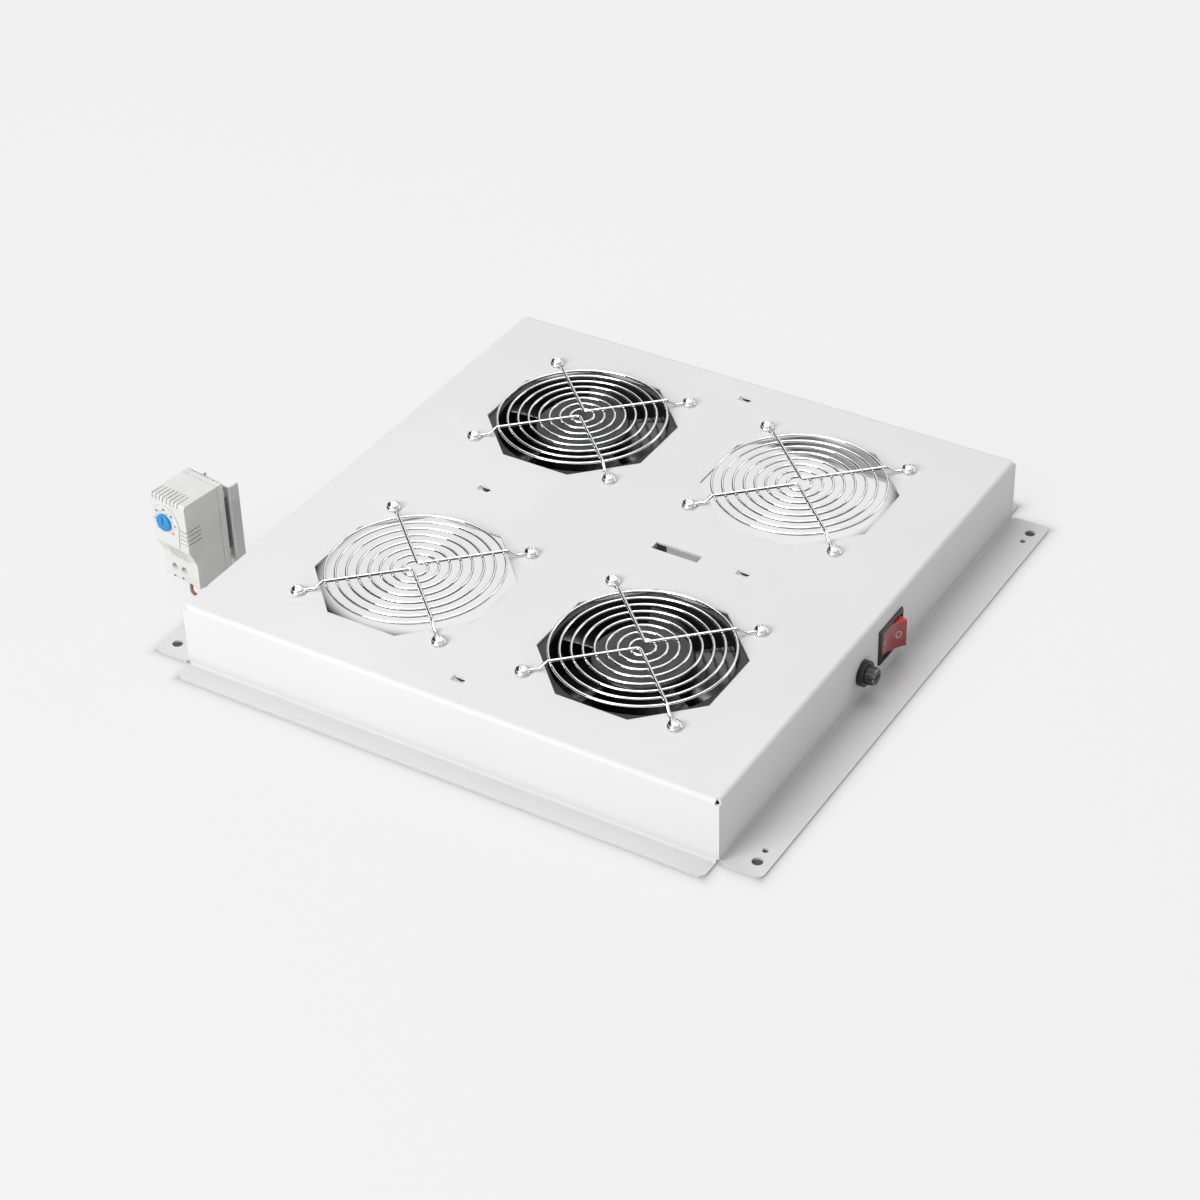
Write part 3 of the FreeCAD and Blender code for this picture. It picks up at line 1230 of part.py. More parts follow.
def cable_tie():
    """Tie round the bridge and the lead under it, with its head at one side and a short tail."""
    y = BRIDGE_END_Y
    half = LEAD_D / 2 + TIE_GAP
    top = TRAY_H - BRIDGE_DEPTH + 2 * TIE_GAP
    low = tied_z() - half
    size = Vector(0, TIE_W, 0)

    def loop(grow):
        outline = [Vector(-half - grow, y - TIE_W / 2, low + half),
                   Vector(-half - grow, y - TIE_W / 2, top + grow),
                   Vector(half + grow, y - TIE_W / 2, top + grow),
                   Vector(half + grow, y - TIE_W / 2, low + half)]
        edges = [line(a, b) for a, b in zip(outline, outline[1:])]
        edges.append(arc(outline[-1], Vector(0, y - TIE_W / 2, low - grow), outline[0]))
        return Part.Face(Part.Wire(edges)).extrude(size)

    band = loop(TIE_T).cut(loop(0))
    side = half + TIE_T
    head = box(side - 0.3, side + 3.2, y - TIE_W * 0.8, y + TIE_W * 0.8, low + half, low + half + 4)
    tail = box(side + 1.2, side + 1.2 + TIE_T, y - TIE_W / 2, y + TIE_W / 2,
               low + half + 3.5 - TIE_TAIL, low + half + 3.5)
    return fused([band, head, tail])


def stat_point(local):
    return stat_placement().multVec(local)


def core_points(entry, side, middle):
    """A core from the end of the lead, by steps from that end, and up into the housing."""
    before, end = Vector(lead_points()[-2]), Vector(lead_points()[-1])
    on = (end - before).normalize()
    across = on.cross(Z).normalize() * side * CORE_D * 0.52
    top = stat_point(entry)
    via = [end + Vector(step) for step in middle]
    return [end + across, end + across + on * 3.2, *via, Vector(top.x, top.y, top.z - 3.0), top]


def brown_points():
    return core_points(BROWN_ENTRY, 1, [(-9.4, 2.5, -1.6), (-13.4, 5.3, -0.9), (-13.4, 8.7, 1.5)])


def blue_points():
    return core_points(BLUE_ENTRY, -1, [(-6.0, 0.3, 0.4)])


# ---------------------------------------------------------------- all nodes
def fan_nodes(side, bay):
    """Every piece of one fan, moved to its bay."""
    makers = {"fan_frame": fan_frame, "fan_bearings": fan_bearings, "fan_stator": fan_stator,
              "fan_rotor": fan_rotor, "fan_shaft": fan_shaft, "fan_cage": fan_cage,
              "fan_terminals": fan_tabs}
    return {f"{side}_{name}": moved(make(), BAYS[bay]) for name, make in makers.items()}


def all_nodes():
    nodes = {"tray_shell": tray_shell()}
    guard = finger_guard()
    for bay, centre in BAYS.items():
        nodes[f"finger_guard_{bay}"] = moved(guard, centre)
    nodes.update(fan_nodes("left", FAN_BAYS[0]))
    nodes.update(fan_nodes("right", FAN_BAYS[1]))
    under_fan_plate = FAN_TOP - FAN_PLATE
    nodes["fan_screws"] = bay_screws(FAN_BAYS, under_fan_plate)
    nodes["fan_nuts"] = bay_nuts(FAN_BAYS, under_fan_plate)
    nodes["spare_bay_screws"] = bay_screws(SPARE_BAYS, PLATE_UNDER)
    nodes["spare_bay_nuts"] = bay_nuts(SPARE_BAYS, PLATE_UNDER)
    nodes["switch_body"] = switch_body()
    nodes["switch_rocker"] = switch_rocker()
    nodes["switch_terminals"] = switch_terminals()
    nodes["switch_lamp"] = switch_lamp()
    nodes["fuse_holder_body"] = fuse_holder_body()
    nodes["fuse_holder_nut"] = fuse_nut()
    nodes["fuse_cap"] = fuse_cap()
    nodes["fuse_tube"] = fuse_tube()
    nodes["fuse_end_caps"] = fuse_end_caps()
    nodes["fuse_terminals"] = fuse_terminals()
    nodes["lead_bush"] = wall_bush(*bush_places()[0])
    nodes["mains_bush"] = wall_bush(*bush_places()[1])
    nodes["terminal_block"] = terminal_block()
    nodes["terminal_contacts"] = block_contacts()
    nodes["terminal_block_screw"] = lug_fastener(LUG_SCREW_D, block_centre_z(),
                                                 block_front() + BLOCK_DEPTH)
    nodes["earth_screw"] = lug_fastener(EARTH_SCREW_D, earth_z(), block_front())
    nodes["thermostat_front"] = thermostat_front()
    nodes["thermostat_rear"] = thermostat_rear()
    nodes["thermostat_bracket"] = thermostat_bracket()
    nodes["thermostat_dial"] = thermostat_dial()
    nodes["thermostat_terminals"] = thermostat_terminals()
    nodes["thermostat_bimetal"] = thermostat_bimetal()
    nodes["thermostat_lead"] = cord("thermostat_lead", lead_points(), LEAD_D)
    nodes["brown_core"] = cord("brown_core", brown_points(), CORE_D)
    nodes["blue_core"] = cord("blue_core", blue_points(), CORE_D)
    nodes["brown_core_inside"] = cord("brown_core_inside", inner_core_points(1), CORE_D)
    nodes["blue_core_inside"] = cord("blue_core_inside", inner_core_points(-1), CORE_D)
    nodes["cable_tie"] = cable_tie()
    return nodes


def main():
    os.makedirs("parts", exist_ok=True)
    for name, shape in all_nodes().items():
        good = shape.isValid() and all(s.Volume > 0 for s in shape.Solids)
        print(f"{name:28} solids {len(shape.Solids):2}  faces {len(shape.Faces):4}  "
              f"volume {shape.Volume:10.1f}  {'ok' if good else 'BAD'}")
        shape.exportStep(f"parts/{name}.step")


main()
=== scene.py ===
"""Looks of the rack fan tray: finishes, screws with cross recesses, printed marks, lead and studio.

Metres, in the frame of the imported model: +Z up, z = 0 under the flanges, the origin in the middle
of the tray, the switch in the front wall, which faces -Y.
"""

import json
import math

import bpy
import numpy as np
from mathutils import Matrix, Vector


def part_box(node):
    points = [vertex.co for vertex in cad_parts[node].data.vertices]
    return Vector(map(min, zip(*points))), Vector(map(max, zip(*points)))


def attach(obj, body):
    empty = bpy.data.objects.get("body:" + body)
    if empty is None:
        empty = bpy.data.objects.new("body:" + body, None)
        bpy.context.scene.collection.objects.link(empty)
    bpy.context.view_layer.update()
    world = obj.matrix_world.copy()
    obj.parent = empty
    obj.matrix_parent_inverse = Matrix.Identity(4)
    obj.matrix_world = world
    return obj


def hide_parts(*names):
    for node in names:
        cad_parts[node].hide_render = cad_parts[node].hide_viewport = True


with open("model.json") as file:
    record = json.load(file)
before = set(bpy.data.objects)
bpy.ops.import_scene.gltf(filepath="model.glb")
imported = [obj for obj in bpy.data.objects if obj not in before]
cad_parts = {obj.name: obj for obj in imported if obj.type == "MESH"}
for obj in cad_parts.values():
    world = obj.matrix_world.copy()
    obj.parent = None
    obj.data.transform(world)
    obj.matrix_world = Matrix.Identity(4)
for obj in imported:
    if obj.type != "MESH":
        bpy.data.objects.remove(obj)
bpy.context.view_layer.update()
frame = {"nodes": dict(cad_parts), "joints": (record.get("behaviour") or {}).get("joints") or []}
MM = 0.001

# ---------------------------------------------------------------- sizes shared with the model
BAY_PITCH = (0.200, 0.165)        # bay centre to bay centre
FAN_BAYS = ((-1, -1), (1, 1))
SPARE_BAYS = ((1, -1), (-1, 1))
SCREW_SQUARE = 0.105              # fan screw square
SCREW_D = 0.0040
HEAD_D = 0.0080
HEAD_H = 0.0026
HUB_R = 0.0320
SIDE_FLANGES = (0.2140, 0.1890)   # half the reach of the side flanges, across and along
END_FLANGES = (0.1985, 0.2180)
BOLTS = (0.1865, 0.2090)          # flange holes from the middle, across and along
PILOTS = (0.1760, 0.2085)
SLOT_Y = -0.0485                  # middle of the terminal slot
LEAD_D = 0.0050
STAT_YAW = math.radians(-7.7)     # the thermostat's turn about Z
STAT_AT = Vector((-0.1087, 0.2356, 0.009))    # middle of its rear lower edge
STAT_FRONT = -0.0362              # its front face, in its own axes
STAT_PANEL = 0.0007               # raised panel in front of that face
STAT_LOWER = 0.0054               # terminal face behind it
DIAL_AT = (0.0036, 0.0488)        # dial centre, across and up
ROCKER_ENDS = 0.0088              # rocker ends and middle above its pivot
ROCKER_MIDDLE = 0.0059
ROCKER_HALF = 0.0112
ROCKER_TILT = math.radians(16)

# ---------------------------------------------------------------- sizes of the fine detail
RECESS_REACH = 2.15 * MM          # arm of a screw's cross recess, from the middle
RECESS_HALF = 0.52 * MM           # half the width of an arm
THREAD_PITCH = 0.7 * MM
THREAD_DEPTH = 0.22 * MM
SCREW_COLUMNS = 48
NUMBER_RING = 9.3 * MM            # radius of the dial's ring of numbers
NUMBER_HEIGHT = 1.9 * MM
TICK_RINGS = (7.4 * MM, 8.5 * MM)
TICK_HALF = 0.16 * MM
SCALE_START = 225                 # degrees at 0, then less by each step
SCALE_STEP = 45
MARK_LINE = 0.28 * MM             # half the width of the rocker's printed lines
MARK_RISE = 0.07 * MM

# ---------------------------------------------------------------- the studio as it is seen
PAPER = (0.895, 0.895, 0.895)     # floor and sky as the camera sees them
SEEN_SHIFT = (0.0560, 0.0345)     # floor seen through a hole in the top, from the hole's centre


# ---------------------------------------------------------------- camera
CAMERA_AT = (-1.30006, -0.80838, 1.12480)
CAMERA_TURN = (-57.819, 36.511, -1.665)       # azimuth, elevation and roll in degrees
LENS, SENSOR = 88.19, 36.0                    # millimetres


def place_camera():
    """The camera looks down on the corner between the front and the left wall."""
    azimuth, elevation, roll = (math.radians(angle) for angle in CAMERA_TURN)
    back = Vector((math.sin(azimuth) * math.cos(elevation),
                   -math.cos(azimuth) * math.cos(elevation), math.sin(elevation)))
    right = Vector((0, 0, 1)).cross(back).normalized()
    up = back.cross(right)
    across = math.cos(roll) * right + math.sin(roll) * up
    over = math.cos(roll) * up - math.sin(roll) * right
    data = bpy.data.cameras.new("camera")
    data.lens, data.sensor_width = LENS, SENSOR
    data.sensor_fit = "HORIZONTAL"
    data.clip_start, data.clip_end = 0.05, 50.0
    camera = bpy.data.objects.new("camera", data)
    turn = Matrix((across, over, back)).transposed().to_4x4()
    camera.matrix_world = Matrix.Translation(CAMERA_AT) @ turn
    bpy.context.scene.collection.objects.link(camera)
    bpy.context.scene.camera = camera


# ---------------------------------------------------------------- shader maths
class Value:
    """A socket that takes part in Python expressions; every operator adds one Math node."""

    def __init__(self, shading, socket):
        self.shading, self.socket = shading, socket

    def math(self, operation, *others):
        values = dict(enumerate((self, *others)))
        return self.shading.node("ShaderNodeMath", {"operation": operation}, values)

    def __add__(self, other):
        return self.math("ADD", other)

    def __radd__(self, other):
        return self.math("ADD", other)

    def __sub__(self, other):
        return self.math("SUBTRACT", other)

    def __rsub__(self, other):
        return self.shading.value_of(other).math("SUBTRACT", self)

    def __mul__(self, other):
        return self.math("MULTIPLY", other)

    def __rmul__(self, other):
        return self.math("MULTIPLY", other)

    def above(self, limit, soft=0.0001):
        """0 below the limit and 1 above it, with a soft step between."""
        settings = {"clamp": True, "interpolation_type": "SMOOTHSTEP"}
        values = {"Value": self, "From Min": limit - soft, "From Max": limit + soft}
        return self.shading.node("ShaderNodeMapRange", settings, values)

    def out(self, name):
        return Value(self.shading, self.socket.node.outputs[name])


class Shading:
    """A node tree that starts empty, and the nodes and patterns that it can be given."""

    def __init__(self, tree):
        self.tree = tree
        self.tree.nodes.clear()

    def node(self, kind, settings=None, values=None):
        """Add a node: settings first, then the values or links of its sockets."""
        made = self.tree.nodes.new(kind)
        for key, value in (settings or {}).items():
            if key == "stops":
                self.ramp_stops(made.color_ramp, value)
            else:
                setattr(made, key, value)
        for key, value in (values or {}).items():
            self.put(made.inputs[key], value)
        return Value(self, next(s for s in made.outputs if s.enabled))

    @staticmethod
    def ramp_stops(ramp, stops):
        while len(ramp.elements) > 1:
            ramp.elements.remove(ramp.elements[-1])
        for index, (position, colour) in enumerate(stops):
            element = ramp.elements[0] if index == 0 else ramp.elements.new(position)
            element.position, element.color = position, (*colour, 1)

    def put(self, socket, value):
        if isinstance(value, Value):
            self.tree.links.new(value.socket, socket)
        elif socket.type == "RGBA" and len(value) == 3:
            socket.default_value = (*value, 1)
        else:
            socket.default_value = value

    def value_of(self, number):
        made = self.node("ShaderNodeValue")
        made.socket.default_value = number
        return made

    def place(self, centre=(0, 0, 0), turn=(0, 0, 0)):
        """Object coordinates from a centre, turned into a piece's own axes."""
        here = self.node("ShaderNodeTexCoord").out("Object")
        moved = self.node("ShaderNodeVectorMath", {"operation": "SUBTRACT"}, {0: here, 1: centre})
        if any(turn):
            settings = {"rotation_type": "EULER_XYZ"}
            moved = self.node("ShaderNodeVectorRotate", settings, {"Vector": moved, "Rotation": turn})
        return moved

    def axes(self, place):
        split = self.node("ShaderNodeSeparateXYZ", {}, {0: place})
        return split.out("X"), split.out("Y"), split.out("Z")

    def noise(self, scale, detail=2.0, rough=0.5, place=None):
        values = {"Vector": place or self.place(), "Scale": scale, "Detail": detail,
                  "Roughness": rough}
        return self.node("ShaderNodeTexNoise", {}, values).out("Fac")

    def mix(self, mask, low, high):
        """Colour low where the mask is 0 and high where it is 1."""
        made = self.node("ShaderNodeMix", {"data_type": "RGBA"})
        inner = made.socket.node
        self.put(inner.inputs["Factor"], mask)
        self.put([s for s in inner.inputs if s.name == "A" and s.type == "RGBA"][0], low)
        self.put([s for s in inner.inputs if s.name == "B" and s.type == "RGBA"][0], high)
        return Value(self, [s for s in inner.outputs if s.type == "RGBA"][0])

    def shades(self, mask, *stops):
        return self.node("ShaderNodeValToRGB", {"stops": stops}, {0: mask})


class Finish(Shading):
    """A material's node tree round one Principled shader; constants sit on the shader's sockets."""

    def __init__(self, name, **constants):
        self.material = bpy.data.materials.new(name)
        self.material.use_nodes = True
        super().__init__(self.material.node_tree)
        self.shader = self.node("ShaderNodeBsdfPrincipled").socket.node
        self.output = self.tree.nodes.new("ShaderNodeOutputMaterial")
        self.tree.links.new(self.shader.outputs[0], self.output.inputs["Surface"])
        for key, value in constants.items():
            self.set(key.replace("_", " "), value)

    def set(self, socket, value):
        self.put(self.shader.inputs[socket], value)

    def bump(self, height, strength, depth):
        values = {"Height": height, "Strength": strength, "Distance": depth}
        self.set("Normal", self.node("ShaderNodeBump", {}, values))


# ---------------------------------------------------------------- finishes
def powder_coat():
    """Pale grey powder coat: a fine pebbled skin with slow, faint changes of tone and gloss, and painted
    shade that darkens it towards the floor, on the flanges.
    """
    f = Finish("powder_coat", IOR=1.45, Specular_IOR_Level=0.34)
    cloud = f.noise(9, 3)
    pebble = f.noise(1150, 2, 0.55)
    grain = f.noise(2600, 1)
    x, y, z = f.axes(f.place())
    tone = f.shades(cloud * 0.8 + grain * 0.2, (0.30, (0.735, 0.735, 0.733)),
                    (0.70, (0.775, 0.775, 0.773)))
    # painted shade: the colour darkens from 10 mm above the floor and is fully dark below 2 mm, where
    # the walls shade the flanges
    painted_flange_shade = 1 - z.above(0.0060, 0.0040)
    f.set("Base Color", f.mix(painted_flange_shade, tone, (0.675, 0.675, 0.675)))
    f.set("Roughness", cloud * 0.10 + pebble * 0.14 + 0.42)
    f.bump(pebble * 0.8 + grain * 0.2, 0.25, 0.00006)
    return f.material


def bright_chrome():
    """Drawn wire under chrome: bright, with fine lengthwise waver and a few dull spots."""
    f = Finish("bright_chrome", Metallic=1.0)
    dull = f.noise(160, 3)
    draw = f.noise(900, 1)
    f.set("Base Color", f.shades(dull, (0.35, (0.84, 0.845, 0.86)), (0.7, (0.93, 0.93, 0.935))))
    f.set("Roughness", dull * 0.05 + draw * 0.03 + 0.02)
    f.bump(draw, 0.08, 0.00004)
    return f.material


def zinc_plate():
    """Bright zinc on turned steel, slightly clouded."""
    f = Finish("zinc_plate", Metallic=1.0)
    cloud = f.noise(420, 3)
    f.set("Base Color", f.shades(cloud, (0.3, (0.74, 0.75, 0.76)), (0.7, (0.92, 0.92, 0.93))))
    f.set("Roughness", cloud * 0.14 + 0.12)
    f.bump(f.noise(1800, 2), 0.2, 0.00003)
    return f.material


def cast_black():
    """Black enamel over die casting: satin, with a fine pebble."""
    f = Finish("cast_black", IOR=1.5)
    pebble = f.noise(1400, 2)
    cloud = f.noise(60, 2)
    f.set("Base Color", f.shades(cloud, (0.3, (0.011, 0.011, 0.012)), (0.7, (0.021, 0.021, 0.022))))
    f.set("Roughness", pebble * 0.12 + cloud * 0.12 + 0.24)
    f.bump(pebble, 0.3, 0.00005)
    return f.material


def rotor_black(centre):
    """Glossy black blades round a grey, matt hub face; the rings of the moulding show on it."""
    f = Finish("rotor_black_" + ("left" if centre[0] < 0 else "right"), IOR=1.5)
    x, y, z = f.axes(f.place((*centre, 0)))
    radius = (x * x + y * y).math("SQRT")
    hub = 1 - radius.above(HUB_R - 0.0012, 0.0004)
    face = hub * z.above(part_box("left_fan_rotor")[1].z - 0.0008, 0.0003)
    pebble = f.noise(1500, 2)
    cloud = f.noise(45, 2)
    blade = f.shades(cloud, (0.3, (0.008, 0.008, 0.009)), (0.7, (0.016, 0.016, 0.017)))
    grey = f.shades(cloud, (0.3, (0.050, 0.050, 0.051)), (0.7, (0.066, 0.066, 0.067)))
    f.set("Base Color", f.mix(face, blade, grey))
    f.set("Roughness", face * 0.34 + pebble * 0.08 + 0.14)
    rings = (radius * 1800).math("SINE")
    f.bump(pebble + rings * face * 0.4, 0.25, 0.00004)
    return f.material


def moulded(name, dark, light, rough, scale=1300, **constants):
    """Moulded plastic: faint flow clouds, a fine pebble and uneven gloss."""
    f = Finish(name, IOR=1.48, **constants)
    cloud = f.noise(70, 3)
    pebble = f.noise(scale, 2)
    f.set("Base Color", f.shades(cloud, (0.3, dark), (0.7, light)))
    f.set("Roughness", cloud * 0.08 + pebble * 0.10 + rough)
    f.bump(pebble, 0.22, 0.00004)
    return f.material


def knurled_cap():
    """Black cap with a painted highlight: patchy pale grey round the rim of its end, where it is also
    glossier.
    """
    f = Finish("knurled_cap", IOR=1.5)
    low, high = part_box("fuse_cap")
    x, y, z = f.axes(f.place(((low.x + high.x) / 2, low.y, (low.z + high.z) / 2)))
    radius = (x * x + z * z).math("SQRT")
    # painted highlight: patches of pale grey on the outer rim within about 0.7 mm of the cap's end
    highlight_patches = f.noise(700, 4, 0.7).above(0.52, 0.10)
    rim = radius.above(0.0047, 0.0004) * (1 - y.above(0.0007, 0.0005))
    painted_rim_highlight = rim * highlight_patches
    f.set("Base Color", f.mix(painted_rim_highlight, (0.018, 0.018, 0.019), (0.42, 0.42, 0.43)))
    f.set("Roughness", 0.34 - painted_rim_highlight * 0.12 + f.noise(900, 2) * 0.1)
    f.bump(f.noise(1600, 2), 0.25, 0.00004)
    return f.material


def red_lens():
    """Tinted rocker: deep red, with a painted glow: its top 2 mm painted lighter red for light through
    its upper side wall.
    """
    f = Finish("red_lens", IOR=1.52, Coat_Weight=0.6, Coat_Roughness=0.08,
               Transmission_Weight=0.12, Subsurface_Weight=0.15, Subsurface_Radius=(0.004, 0.001, 0.001))
    low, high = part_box("switch_rocker")
    x, y, z = f.axes(f.place((0, 0, high.z - 0.002)))
    # painted glow: lighter red above a level 2 mm under the rocker's top
    painted_glow = z.above(0.0, 0.0006)
    cloud = f.noise(260, 3)
    face = f.shades(cloud, (0.3, (0.26, 0.004, 0.008)), (0.7, (0.40, 0.008, 0.014)))
    f.set("Base Color", f.mix(painted_glow, face, (0.72, 0.010, 0.016)))
    f.set("Roughness", cloud * 0.1 + 0.16)
    f.bump(f.noise(900, 2), 0.1, 0.00004)
    return f.material


def metal(name, dark, light, rough, scale=500):
    """Bare metal with tool marks and tarnish."""
    f = Finish(name, Metallic=1.0)
    cloud = f.noise(scale, 3)
    f.set("Base Color", f.shades(cloud, (0.3, dark), (0.7, light)))
    f.set("Roughness", cloud * 0.15 + rough)
    f.bump(f.noise(scale * 4, 2), 0.2, 0.00003)
    return f.material


def laminations():
    """Stacked steel sheets of the motor core."""
    f = Finish("laminations", Metallic=0.7)
    x, y, z = f.axes(f.place())
    sheets = (z * 9000).math("SINE") * 0.5 + 0.5
    f.set("Base Color", f.mix(sheets, (0.10, 0.09, 0.085), (0.24, 0.22, 0.2)))
    f.set("Roughness", sheets * 0.2 + 0.35)
    f.bump(sheets, 0.4, 0.00008)
    return f.material


def clear_glass():
    """Fuse and lamp glass, with a slight uneven film."""
    f = Finish("clear_glass", IOR=1.5, Transmission_Weight=0.9)
    film = f.noise(300, 2)
    f.set("Base Color", f.shades(film, (0.3, (0.86, 0.9, 0.9)), (0.7, (0.95, 0.97, 0.97))))
    f.set("Roughness", film * 0.06 + 0.02)
    return f.material


def sheath(name, dark, light, rough):
    """Extruded cable sheath: matt, with slow lengthwise unevenness."""
    f = Finish(name, IOR=1.5)
    cloud = f.noise(190, 3)
    fine = f.noise(1800, 2)
    f.set("Base Color", f.shades(cloud, (0.3, dark), (0.7, light)))
    f.set("Roughness", cloud * 0.12 + fine * 0.08 + rough)
    f.bump(fine * 0.6 + cloud, 0.25, 0.00008)
    return f.material


def ink(name, colour):
    """Printed ink, slightly uneven."""
    f = Finish(name, IOR=1.4)
    patchy = f.noise(2400, 2)
    lighter = tuple(min(1.0, c * 1.15 + 0.01) for c in colour)
    f.set("Base Color", f.shades(patchy, (0.35, colour), (0.7, lighter)))
    f.set("Roughness", patchy * 0.1 + 0.45)
    return f.material


# ---------------------------------------------------------------- mesh helpers
def new_piece(name, points, faces, finish, body, smooth=True):
    """A mesh from arrays of points and faces, which rides on a body."""
    mesh = bpy.data.meshes.new(name)
    mesh.from_pydata(points.reshape(-1, 3).tolist(), [], [tuple(f) for f in faces])
    mesh.validate()
    mesh.polygons.foreach_set("use_smooth", [smooth] * len(mesh.polygons))
    mesh.materials.append(finish)
    piece = bpy.data.objects.new(name, mesh)
    bpy.context.scene.collection.objects.link(piece)
    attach(piece, body)
    return piece


def ring_faces(rows, columns, start=0):
    """Quads of a grid whose columns close on themselves."""
    row, column = np.meshgrid(np.arange(rows - 1), np.arange(columns), indexing="ij")
    after = (column + 1) % columns
    quads = np.stack([row * columns + column, row * columns + after,
                      (row + 1) * columns + after, (row + 1) * columns + column], -1)
    return quads.reshape(-1, 4) + start


def turned_surface(radii, heights, columns):
    """Points of a profile carried round Z: x = r cos a, y = r sin a, z = height."""
    angles = np.arange(columns) * 2 * math.pi / columns
    x = radii[:, None] * np.cos(angles)
    y = radii[:, None] * np.sin(angles)
    z = np.broadcast_to(heights[:, None], x.shape)
    return np.stack([x, y, z], -1)


# ---------------------------------------------------------------- screws
def cross_recess(x, y):
    """Depth of the cross recess: two crossed slots with sloping walls, deepest in the middle."""
    end_slope, side_slope = 0.5 * MM, 0.16 * MM

    def arm(along, across):
        ends = np.clip((RECESS_REACH - np.abs(along)) / end_slope, 0, 1)
        sides = np.clip((RECESS_HALF - np.abs(across)) / side_slope, 0, 1)
        return ends * sides

    wall = np.maximum(arm(x, y), arm(y, x))
    middle = np.clip(1 - np.hypot(x, y) / RECESS_REACH, 0, 1)
    return wall * (0.7 + 1.1 * middle) * MM


def screw_points(length, columns):
    """Closed pan head screw along Z, its head face at z = 0: a dome with a cross recess, a rim,
    a flat underside and a shank whose radius waves once each thread pitch."""
    head_r, side = HEAD_D / 2, HEAD_H * 0.45
    dome_r = (head_r ** 2 + (HEAD_H - side) ** 2) / (2 * (HEAD_H - side))
    r_top = np.concatenate([[1e-6], np.linspace(0.12, 2.6, 22) * MM,
                            np.linspace(2.8 * MM, head_r, 8)])
    z_top = HEAD_H - dome_r + np.sqrt(dome_r ** 2 - r_top ** 2)
    steps = 12                    # rows of points in one thread pitch
    turns = np.arange(0, steps * length / THREAD_PITCH) / steps
    z_shank = -turns * THREAD_PITCH
    r_shank = SCREW_D / 2 - THREAD_DEPTH / 2 * (1 - np.cos(2 * math.pi * turns))
    radii = np.concatenate([r_top, [head_r, head_r - 0.1 * MM], r_shank,
                            [SCREW_D * 0.35, 1e-6]])
    heights = np.concatenate([z_top, [0.12 * MM, 0], z_shank, [-length, -length]])
    points = turned_surface(radii, heights, columns)
    top = len(r_top)
    points[:top, :, 2] -= cross_recess(points[:top, :, 0], points[:top, :, 1])
    return points


def bay_screws(name, node, bays, finish):
    """Eight screws of two bays, each turned to its own angle."""
    low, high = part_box(node)
    single = screw_points(high.z - HEAD_H - low.z, SCREW_COLUMNS)
    quads = ring_faces(len(single), SCREW_COLUMNS)
    count = len(single) * SCREW_COLUMNS
    points, faces = [], []
    for bx, by in bays:
        for sx in (-1, 1):
            for sy in (-1, 1):
                turn = 0.7 + 2.4 * len(points)
                c, s = math.cos(turn), math.sin(turn)
                spun = single @ np.array([[c, s, 0], [-s, c, 0], [0, 0, 1]])
                centre = (bx * BAY_PITCH[0] / 2 + sx * SCREW_SQUARE / 2,
                          by * BAY_PITCH[1] / 2 + sy * SCREW_SQUARE / 2, high.z - HEAD_H)
                faces.append(quads[:, ::-1] + count * len(points))
                points.append(spun.reshape(-1, 3) + centre)
    piece = new_piece(name, np.concatenate(points), np.concatenate(faces), finish, "tray")
    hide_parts(node)


# ---------------------------------------------------------------- printed marks
def flat_shape(outlines, thickness):
    """Closed slabs from convex outlines: a front face, a back face and a wall for each."""
    points, faces = [], []
    for outline in outlines:
        n, start = len(outline), sum(len(p) for p in points)
        front = np.column_stack([outline, np.full(n, thickness)])
        behind = np.column_stack([outline, np.zeros(n)])
        points.append(np.concatenate([front, behind]))
        k = np.arange(n)
        after = (k + 1) % n
        faces.append(tuple(start + k))
        faces.append(tuple(start + n + k[::-1]))
        faces += [tuple(f) for f in np.stack([k + n, after + n, after, k], -1) + start]
    return np.concatenate(points), faces


def digits(text, height, thickness):
    """Mesh points and faces of a plain printed number, centred on the origin."""
    curve = bpy.data.curves.new("number", "FONT")
    curve.body, curve.size = text, height * 1.4
    curve.align_x, curve.align_y = "CENTER", "CENTER"
    curve.extrude = thickness / 2
    holder = bpy.data.objects.new("number", curve)
    bpy.context.scene.collection.objects.link(holder)
    graph = bpy.context.evaluated_depsgraph_get()
    mesh = bpy.data.meshes.new_from_object(holder.evaluated_get(graph))
    points = np.array([v.co for v in mesh.vertices])
    faces = [tuple(p.vertices) for p in mesh.polygons]
    bpy.data.objects.remove(holder)
    bpy.data.curves.remove(curve)
    return points, faces


def on_thermostat(points, out):
    """From (across, up, off the face) to the tray's axes; out is how far the face stands forward.
    Across runs to the left of someone who faces the dial, and off the face is towards them."""
    across, up, off = points.T
    local = np.column_stack([-out - off, across, up])
    c, s = math.cos(STAT_YAW), math.sin(STAT_YAW)
    turned = np.column_stack([c * local[:, 0] - s * local[:, 1],
                              s * local[:, 0] + c * local[:, 1], local[:, 2]])
    return turned + np.array(STAT_AT)


